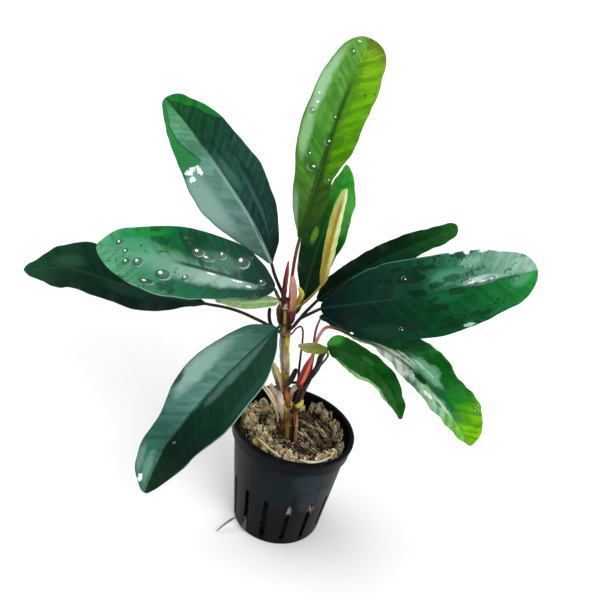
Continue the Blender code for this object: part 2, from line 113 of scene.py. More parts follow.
# %% [markdown]
# ## Sums on shader sockets
# A finish is mostly arithmetic: a mask times a colour, a distance less a width. Wrapping a socket in a small class
# lets such a sum be written as Python, and each sign adds one Math node.


# %% The wire class
class Wire:
    """One socket of a finish. Signs between wires and numbers add Math nodes."""

    def __init__(self, tree, socket=None):
        self.tree, self.socket = tree, socket

    def node(self, kind, settings=None, sockets=None, out=0):
        """Adds a node: its settings first, then the values or wires of its sockets. It gives back one output."""
        made = self.tree.nodes.new(kind)
        for key, value in (settings or {}).items():
            if key == "stops":
                fill_ramp(made.color_ramp, value)
            else:
                setattr(made, key, value)
        for key, value in (sockets or {}).items():
            if isinstance(value, Wire):
                self.tree.links.new(value.socket, made.inputs[key])
            else:
                made.inputs[key].default_value = value
        return Wire(self.tree, made.outputs[out])

    def maths(self, operation, first, second=0.0):
        return self.node("ShaderNodeMath", {"operation": operation}, {0: first, 1: second})

    def __add__(self, other):
        return self.maths("ADD", self, other)

    def __sub__(self, other):
        return self.maths("SUBTRACT", self, other)

    def __rsub__(self, other):
        return self.maths("SUBTRACT", other, self)

    def __mul__(self, other):
        return self.maths("MULTIPLY", self, other)

    def __truediv__(self, other):
        return self.maths("DIVIDE", self, other)

    def __pow__(self, other):
        return self.maths("POWER", self, other)

    def __abs__(self):
        return self.maths("ABSOLUTE", self)

    def root(self):
        return self.maths("SQRT", self.most(0.0))

    def most(self, other):
        return self.maths("MAXIMUM", self, other)

    def wave(self):
        return self.maths("SINE", self)

    __radd__, __rmul__ = __add__, __mul__

    def rise(self, low, high):
        """0 below low, 1 above high, and a smooth step between them. It falls where low is the greater."""
        sockets = {"Value": self, "From Min": low, "From Max": high}
        return self.node("ShaderNodeMapRange", {"interpolation_type": "SMOOTHSTEP"}, sockets)

    def mix(self, one, other):
        """Colour one where this wire is 0 and colour other where it is 1."""
        return self.node("ShaderNodeMix", {"data_type": "RGBA"}, {0: self, 6: one, 7: other}, out=2)

    def ramp(self, *stops):
        return self.node("ShaderNodeValToRGB", {"stops": stops}, {0: self})

    def grain(self, scale, detail=3.0, roughness=0.55):
        """Noise at these coordinates, from 0 to 1."""
        sockets = {"Vector": self, "Scale": scale, "Detail": detail, "Roughness": roughness}
        return self.node("ShaderNodeTexNoise", None, sockets)

    def parts(self):
        split = self.node("ShaderNodeSeparateXYZ", None, {0: self})
        return [Wire(self.tree, output) for output in split.socket.node.outputs]


def fill_ramp(ramp, stops):
    """Puts (position, colour) stops on a colour ramp."""
    while len(ramp.elements) < len(stops):
        ramp.elements.new(1.0)
    for element, (position, colour) in zip(ramp.elements, stops):
        element.position, element.color = position, colour


def new_finish(name, **plain):
    """A material and a first wire in it. Plain values go on the shader's own sockets."""
    material = bpy.data.materials.new(name)
    material.use_nodes = True
    shader = material.node_tree.nodes["Principled BSDF"]
    for key, value in plain.items():
        shader.inputs[key.replace("_", " ")].default_value = value
    return material, Wire(material.node_tree)


def connect(material, **wires):
    """Joins wires to the shader's sockets."""
    tree = material.node_tree
    shader = tree.nodes["Principled BSDF"]
    for key, wire in wires.items():
        tree.links.new(wire.socket, shader.inputs[key.replace("_", " ")])


def bump(height, distance_mm, strength=1.0):
    sockets = {"Height": height, "Distance": distance_mm * MM, "Strength": strength}
    return height.node("ShaderNodeBump", None, sockets)


print("helpers ready")

# %% [markdown]
# ## Smooth lines through the plant
# Leaves, stalks and roots all follow a line through a few points. The line leaves each point along the way from
# the point before it to the point after it, so it never loops where points lie close together. The plant leans a
# little in its pot, so its points are written as if it stood upright and are then turned.

# %% Curves and the lean
POT_HEIGHT = 50.0
LEAN_AXIS = Vector((0.0, 0.853, -0.522))
LEAN_DEGREES = 7.5
LEAN_SHIFT = Vector((1.6, -0.3, -0.4))
LEAN = Matrix.Rotation(math.radians(LEAN_DEGREES), 3, LEAN_AXIS)
LOOK_AHEAD = 0.05


def leaned(points):
    pivot = Vector((0.0, 0.0, POT_HEIGHT))
    return [pivot + LEAN @ (Vector(point) - pivot) + LEAN_SHIFT for point in points]


def between(start, end, leaving, arriving, f):
    """A cubic from start to end that leaves and arrives with the given slopes, at the share f of the way."""
    ease = f * f * (3 - 2 * f)
    return start * (1 - ease) + end * ease + leaving * (f * (1 - f) ** 2) - arriving * (f * f * (1 - f))


def span_at(values, at):
    """The four neighbouring values round a place on a curve, and how far it lies between the middle two."""
    spans = len(values) - 1
    i = min(int(at), spans - 1)
    b, c = values[i], values[i + 1]
    a = values[i - 1] if i > 0 else 2 * b - c
    d = values[i + 2] if i + 2 <= spans else 2 * c - b
    return a, b, c, d, at - i


def smooth_point(points, at):
    a, b, c, d, f = span_at(points, at)
    length = (c - b).length
    leaving = (c - a) * (length / ((b - a).length + length))
    arriving = (d - b) * (length / ((d - c).length + length))
    return between(b, c, leaving, arriving, f)


def smooth_value(values, at):
    a, b, c, d, f = span_at(values, at)
    return between(b, c, (c - a) / 2, (d - b) / 2, f)


def heading(points, at):
    spans = len(points) - 1
    return (smooth_point(points, min(at + LOOK_AHEAD, spans)) - smooth_point(points, max(at - LOOK_AHEAD, 0.0))).normalized()


print("a point halfway along a bend:", smooth_point([Vector((0, 0, 0)), Vector((1, 0, 0)), Vector((1, 1, 0))], 1.5))

# %% [markdown]
# ## Round stems
# A stalk or root is a flat grid wrapped round a line. The grid keeps its own map, so a finish can run along the
# stem or round it. The radius sinks to nothing at both ends, so the ends are round and the piece is closed.


# %% A stem from a grid
def add_grid(name, columns, rows):
    bpy.ops.object.select_all(action="DESELECT")
    bpy.ops.mesh.primitive_grid_add(x_subdivisions=columns, y_subdivisions=rows, size=2.0)
    sheet = bpy.context.object
    sheet.name = sheet.data.name = name
    return sheet


def add_stem(name, points, radii, finish, rows=40, sides=12, rough=0.05, flatten=1.0):
    """A closed tube through the points, in mm. rough is how uneven its radius is, and flatten squashes it."""
    points = [Vector(point) for point in points]
    spans = len(points) - 1
    samples = [smooth_point(points, spans * i / 50) for i in range(51)]
    length = sum((b - a).length for a, b in zip(samples, samples[1:]))
    stem = add_grid(name, sides, rows)
    about = stem.data.attributes.new("about", "FLOAT_VECTOR", "POINT")
    rings = {}
    across = Vector((0.0, 1.0, 0.0))
    for row in sorted({round(vertex.co.y, 5) for vertex in stem.data.vertices}):
        share = (1 - math.cos(math.pi * (row + 1) / 2)) / 2
        ahead = heading(points, spans * share)
        across = (across - across.dot(ahead) * ahead).normalized()
        radius = smooth_value(radii, (len(radii) - 1) * share)
        reach = min(1.0, min(share, 1 - share) * length / max(radius, 0.01))
        rings[row] = smooth_point(points, spans * share), across, ahead.cross(across), radius, reach, share
    for vertex in stem.data.vertices:
        centre, across, other, radius, reach, share = rings[round(vertex.co.y, 5)]
        turn = math.pi * vertex.co.x
        outward = math.cos(turn) * flatten * across + math.sin(turn) * other
        uneven = 1 + rough * noise.noise(centre * 0.9 + outward * 1.5)
        vertex.co = (centre + outward * radius * uneven * math.sqrt(1 - (1 - reach) ** 2)) * MM
        about.data[vertex.index].vector = (-math.sin(turn), share, -math.cos(turn))
    in_edit_mode(stem, merge_doubles, turn_faces_out)
    stem.data.materials.append(finish)
    return stem


print("stems can be made")

# %% [markdown]
# ## Leaves
# A blade could be a box that is cut to shape, but a real one is a thin sheet with a rib. So each blade starts as a
# flat grid: its rows are laid along the rib and widened to the two edges. Code adds the fold along the rib, the
# groove over it and the waves of the edges. Solidify gives the sheet its thickness, with the underside in its
# own finish. Each point keeps where it lies on the blade: as shares from edge to edge and from base to tip, for
# colours, and in millimetres, for veins and drops. The stalk runs on under the blade as its raised rib.

# %% A leaf from a grid
BLADE_TOP = 0.22
BLADE_THICKNESS = 0.42
BLADE_COLUMNS = 26
BLADE_ROWS = 84
GROOVE_DEPTH = 0.16
GROOVE_WIDTH = 0.7
EDGE_HALF_WIDTH = 0.25


def uneven_edge(leaf, side, along):
    """How much a blade is wider or narrower here than its even outline, in mm."""
    place_on = Vector((along * 11, side * 7, leaf["rib"][0][0]))
    return leaf.get("ragged", 0.15) * (noise.noise(place_on) + 0.5 * noise.noise(place_on * 2.7))


def blade_rows(leaf):
    """For each row from base to tip: its middle, the ways across and up, its half-widths, and where it lies."""
    spine = leaned(leaf["stalk"]) + leaned(leaf["rib"])
    first, spans = len(leaf["stalk"]), len(leaf["rib"]) - 1
    base_face, tip_face = (LEAN @ Vector(face) for face in leaf["faces"])
    stations = len(leaf["left"]) - 1
    rows, travelled, last = [], 0.0, None
    for i in range(BLADE_ROWS + 1):
        q = i / BLADE_ROWS
        along = (1 - math.cos(math.pi * q)) / 2
        at = first + spans * along
        middle, ahead = smooth_point(spine, at), heading(spine, at)
        face = base_face.lerp(tip_face, along)
        face = (face - face.dot(ahead) * ahead).normalized()
        widths = [max(EDGE_HALF_WIDTH, smooth_value(leaf[key], stations * q) + uneven_edge(leaf, side, along))
                  for side, key in enumerate(("left", "right"))]
        travelled += (middle - last).length if last else 0.0
        last = middle
        rows.append((middle, ahead.cross(face), face, widths, along, travelled))
    return rows


def edge_wave(leaf, across, along, width):
    """How far the blade's edge rises and falls: long soft waves that fade towards the rib and the two ends."""
    waves, height, start = leaf.get("waves", (3.0, 0.4, 0.0))
    side = 0.9 if across > 0 else 0.0
    ripple = math.sin(2 * math.pi * (waves * along + start + side)) + 0.4 * math.sin(2 * math.pi * (waves * 2.3 * along + side))
    return height * abs(across) ** 2.5 * ripple * math.sin(math.pi * min(1.0, along * 1.05)) ** 0.5


def add_blade(leaf, top_finish, under_finish):
    rows = blade_rows(leaf)
    fold = leaf.get("fold", 0.12)
    blade = add_grid(leaf["name"] + "_blade", BLADE_COLUMNS, BLADE_ROWS)
    shares = blade.data.attributes.new("shares", "FLOAT_VECTOR", "POINT")
    flat = blade.data.attributes.new("flat", "FLOAT_VECTOR", "POINT")
    for vertex in blade.data.vertices:
        middle, side, face, widths, along, travelled = rows[round((vertex.co.y + 1) / 2 * BLADE_ROWS)]
        across = vertex.co.x * abs(vertex.co.x) ** 0.3
        width = widths[1 if across > 0 else 0]
        off = across * width
        lift = fold * width * (math.sqrt(across**2 + 0.02) - 0.14) + edge_wave(leaf, across, along, width)
        lift -= GROOVE_DEPTH * math.exp(-((off / GROOVE_WIDTH) ** 2)) * min(1.0, 6 * along)
        vertex.co = (middle + side * off + face * (lift + BLADE_TOP)) * MM
        shares.data[vertex.index].vector = (across, along, 0.0)
        flat.data[vertex.index].vector = (off, travelled, 0.0)
    blade.data.materials.append(top_finish)
    blade.data.materials.append(under_finish)
    thick = blade.modifiers.new("thickness", "SOLIDIFY")
    thick.thickness, thick.offset, thick.material_offset = BLADE_THICKNESS * MM, -1.0, 1
    soft = blade.modifiers.new("soft", "SUBSURF")
    soft.levels = soft.render_levels = 1
    apply_modifiers(blade)
    return blade


def add_stalk(leaf, finish):
    """The stalk and the raised rib that it becomes under the blade."""
    rows = blade_rows(leaf)
    first_radius, last_radius = leaf.get("stalk_radius", (0.65, 0.6))
    points = leaned([leaf["joint"]] + leaf["stalk"])
    radii = [first_radius] * len(points)
    for share in (0.02, 0.15, 0.3, 0.5, 0.7, 0.88):
        middle, _, face, _, along, _ = rows[int(share * BLADE_ROWS)]
        radius = last_radius * (1 - 0.8 * along)
        points.append(middle - face * (radius * 0.55 + 0.1))
        radii.append(radius)
    return add_stem(leaf["name"] + "_stalk", points, radii, finish, rows=60, sides=10)


print("leaves can be made")

# %% [markdown]
# ## The finish of a blade
# Seen close, a blade is two halves that lie at different angles, so one half shines grey and the other stays deep
# green. Each half gets its own run of colours from base to tip, and the grey shine is painted into the colours of its
# half as well as given by the lamps. Over that lie soft mottling, side veins that sweep forward from the rib, the rib's
# groove, a thin pale edge, ovals of tint and of painted sheen, painted highlights, and the wet: dark glossy patches and
# round beads. A picture could hold all this, but a pattern worked out from the blade's own map stays sharp.


# %% The blade's finish
def spot(x, y, at_x, at_y, half_x, half_y):
    """Squared distance from the middle of an oval: 0 in its middle and 1 on its edge."""
    return ((x - at_x) / half_x) ** 2 + ((y - at_y) / half_y) ** 2


def blade_finish(leaf):
    look = leaf["look"]
    material, start = new_finish(leaf["name"] + "_top", Specular_IOR_Level=look.get("shine", 0.12), Coat_Roughness=0.08)
    shares = start.node("ShaderNodeAttribute", {"attribute_name": "shares"}, out="Vector")
    flat = start.node("ShaderNodeAttribute", {"attribute_name": "flat"}, out="Vector")
    across, along, _ = shares.parts()
    x, y, _ = flat.parts()
    cloud, soft, fine = flat.grain(0.09, 4.0), flat.grain(0.22, 3.0), flat.grain(0.9, 3.0)

    # The two halves, each with its own colours (the grey half's colours hold painted sheen), and soft mottling in the
    # direction of the side veins
    halves = [along.ramp(*[(at, tone(*colour)) for at, colour in look[key]]) for key in ("left", "right")]
    colour = (across + (cloud - 0.5) * 0.12).rise(-0.05, 0.05).mix(*halves)
    vein_pitch, vein_slant = look.get("veins", (3.4, 0.85))
    sweep = y - abs(x) * vein_slant + (cloud - 0.5) * 5.0
    streaks = start.node("ShaderNodeCombineXYZ", None, {0: sweep * 0.42, 1: abs(x) * 0.07, 2: across.rise(-0.01, 0.01)})
    mottle = streaks.grain(1.0, 3.0) * 0.5 + soft * 0.3 + cloud * 0.2
    deep = start.node("ShaderNodeMix", {"data_type": "RGBA", "blend_type": "MULTIPLY"},
                      {0: 1.0, 6: colour, 7: (0.34, 0.42, 0.36, 1.0)}, out=2)
    colour = (mottle.rise(0.60, 0.40) * look.get("mottle", 0.6)).mix(colour, deep)
    vein = (1 - abs((sweep * (math.pi / vein_pitch)).wave())).rise(0.72, 1.0) * abs(x).rise(0.3, 1.6) * soft.rise(0.3, 0.6)
    colour = (vein * look.get("vein_strength", 0.12)).mix(colour, tone(*look["rib"]))

    # Ovals of the leaf's own tint and of painted sheen (the pale grey and white ones), the rib and the edge
    for at_x, at_y, half_x, half_y, tint_and_sheen, strength in look.get("tint_and_sheen", ()):
        mask = (spot(across, along, at_x, at_y, half_x, half_y) + (mottle - 0.5) * 3.0 + (fine - 0.5) * 0.3).rise(1.25, 0.0)
        colour = (mask * strength).mix(colour, tone(*tint_and_sheen))
    # Rims: a green band where the margin turns back towards the tip, edged inside by a dark line of painted shade along
    # the fold
    for side, shade, widths in look.get("rims", ()):
        inner = across * side - 1.1 + along.ramp(*[(at, (width, width, width, 1.0)) for at, width in widths])
        inner = inner + (soft - 0.5) * 0.12
        colour = inner.rise(-0.01, 0.03).mix(colour, (mottle.rise(0.6, 0.4) * 0.5).mix(tone(*shade), deep))
        colour = (abs(inner).rise(0.05, 0.0) * 0.75).mix(colour, tone(*look["wet_tone"]))
    rib_from, rib_to = look.get("rib_ends", (1.0, 0.8))
    rib = (abs(x) + (fine - 0.5) * 0.3).rise(look.get("rib_width", 0.7), 0.15) * along.rise(rib_from, rib_to)
    colour = (rib * look.get("rib_strength", 0.6)).mix(colour, tone(*look["rib"]))
    edge = (abs(across) + (soft - 0.5) * 0.05).rise(0.962, 0.992) * look.get("edge_strength", 0.5)
    edges = across.rise(-0.05, 0.05).mix(tone(*look["edge"]), tone(*look.get("edge_right", look["edge"])))
    colour = edge.mix(colour, edges)

    # The wet: dark glossy patches, listed drops with painted highlights, and a drizzle of small ones
    longways = start.node("ShaderNodeCombineXYZ", None, {0: x, 1: y * 0.5})
    wet = (longways.grain(0.13, 3.0) * 0.75 + fine * 0.25).rise(*look.get("wet", (0.62, 0.66)))
    for at_x, at_y, half_x, half_y in look.get("puddles", ()):
        wet = wet.most((spot(x, y, at_x, at_y, half_x, half_y) + (soft - 0.5) * 5.0 + (fine - 0.5) * 2.5).rise(1.2, 0.6))
    colour = (wet * 0.6).mix(colour, tone(*look["wet_tone"]))
    # Flecks: torn strokes of colour; the white and pale ones are painted glare and highlights, the dark ones the leaf's
    # own blotches.
    for at_x, at_y, half_x, half_y, shade, strength in look.get("flecks", ()):
        torn = spot(x, y, at_x, at_y, half_x, half_y) + (fine - 0.5) * 3.0 + (soft - 0.5) * 4.0
        colour = (torn.rise(1.3, 0.5) * strength).mix(colour, tone(*shade))
    # Each listed drop gets a painted highlight: a bright spot towards the light and a pale crescent on its far side.
    light_x, light_y = look.get("light_from", (0.5, 0.5))
    beads, glint = wet * 0.0, wet * 0.0
    for at_x, at_y, half_x, half_y in look.get("beads", ()):
        body = spot(x, y, at_x, at_y, half_x, half_y) + (soft - 0.5) * 0.5
        beads = beads.most(1 - body)
        near = spot(x, y, at_x + half_x * light_x * 0.7, at_y + half_y * light_y * 0.7, half_x * 0.36, half_y * 0.3)
        far = spot(x, y, at_x + half_x * light_x * 0.45, at_y + half_y * light_y * 0.45, half_x * 0.95, half_y * 0.95)
        glint = glint.most(near.rise(1.0, 0.2)).most(far.rise(0.95, 1.25) * body.rise(1.0, 0.75) * 0.3)
    if "drizzle" in look:
        cells = {"Vector": flat, "Scale": look["drizzle"], "Randomness": 1.0}
        cell = start.node("ShaderNodeTexVoronoi", {"feature": "F1"}, cells, out="Distance")
        beads = beads.most((1 - (cell / 0.15) ** 2).most(0.0) * flat.grain(0.05, 1.0).rise(0.5, 0.54))
    beads = beads.root()
    # Drops are darkened towards the wet tone, most just inside their rims: painted shade of the water.
    inside = beads.rise(0.0, 0.45)
    colour = (inside * (1 - beads * 0.5) * 0.8).mix(colour, tone(*look["wet_tone"]))
    # Glints: torn white painted highlights.
    for at_x, at_y, half_x, half_y in look.get("glints", ()):
        torn = spot(x, y, at_x, at_y, half_x, half_y) + (fine - 0.5) * 4.0 + (soft - 0.5) * 3.0
        glint = glint.most(torn.rise(1.0, 0.7))
    colour = glint.mix(colour, tone(*look.get("glint", (228, 240, 234))))
    gloss = wet.most(inside)
    height = (vein * -0.10 + (mottle - 0.5) * 0.5 + (fine - 0.5) * 0.06 + wet * 0.10) * 0.6 + beads * 0.7
    connect(material, Base_Color=colour, Roughness=0.38 - gloss * 0.24 + (fine - 0.5) * 0.12,
            Coat_Weight=gloss * 0.25, Normal=bump(height, 0.5))
    return material


def underside_finish(leaf):
    """Paler and matt, with the side veins standing out a little and fine dots."""
    look = leaf["look"]
    material, start = new_finish(leaf["name"] + "_under", Roughness=0.55, Specular_IOR_Level=0.4)
    flat = start.node("ShaderNodeAttribute", {"attribute_name": "flat"}, out="Vector")
    x, y, _ = flat.parts()
    cloud, fine = flat.grain(0.1, 4.0), flat.grain(1.6, 2.0)
    under = look.get("under", (92, 128, 82))
    colour = cloud.rise(0.25, 0.75).mix(tone(*[value * 0.72 for value in under]), tone(*under))
    vein_pitch, vein_slant = look.get("veins", (3.2, 0.85))
    vein = (1 - abs(((y - abs(x) * vein_slant) * (math.pi / vein_pitch)).wave())).rise(0.8, 1.0)
    colour = (vein * 0.25).mix(colour, tone(*[value * 0.6 for value in under]))
    colour = (fine.rise(0.6, 0.68) * 0.3).mix(colour, tone(*[value * 0.5 for value in under]))
    connect(material, Base_Color=colour, Normal=bump(vein * 0.3 + fine * 0.2, 0.25))
    return material


def stem_finish(name, tones, right_tones=None, bands=()):
    """A stem's colours from foot to tip, on its left and its right side, with bands and streaks that run along it."""
    material, start = new_finish(name, Roughness=0.4, Specular_IOR_Level=0.2)
    about = start.node("ShaderNodeAttribute", {"attribute_name": "about"}, out="Vector")
    side, along, front = about.parts()
    lines = start.node("ShaderNodeCombineXYZ", None, {0: side * 3.0, 1: along * 2.5, 2: front * 3.0}).grain(1.6, 4.0)
    colour = along.ramp(*[(at, tone(*shade)) for at, shade in tones])
    if right_tones:
        right = along.ramp(*[(at, tone(*shade)) for at, shade in right_tones])
        colour = (side + (lines - 0.5) * 1.4).rise(-0.15, 0.25).mix(colour, right)
    for at_side, half_side, low, high, shade, strength in bands:
        round_it = (abs(side - at_side) + (lines - 0.5) * 0.4).rise(half_side * 1.1, half_side * 0.8)
        along_it = (abs(along - (low + high) / 2) + (lines - 0.5) * 0.03).rise((high - low) * 0.55, (high - low) * 0.4)
        colour = (round_it * along_it * strength).mix(colour, tone(*shade))
    dark = start.node("ShaderNodeMix", {"data_type": "RGBA", "blend_type": "MULTIPLY"},
                      {0: 1.0, 6: colour, 7: (0.3, 0.24, 0.22, 1.0)}, out=2)
    colour = (lines.rise(0.6, 0.42) * 0.5).mix(colour, dark)
    fine = start.node("ShaderNodeTexCoord", None, None, out="Object").grain(2500.0, 2.0)
    connect(material, Base_Color=colour, Normal=bump(lines * 0.7 + fine * 0.3, 0.2))
    return material


print("finishes can be made")
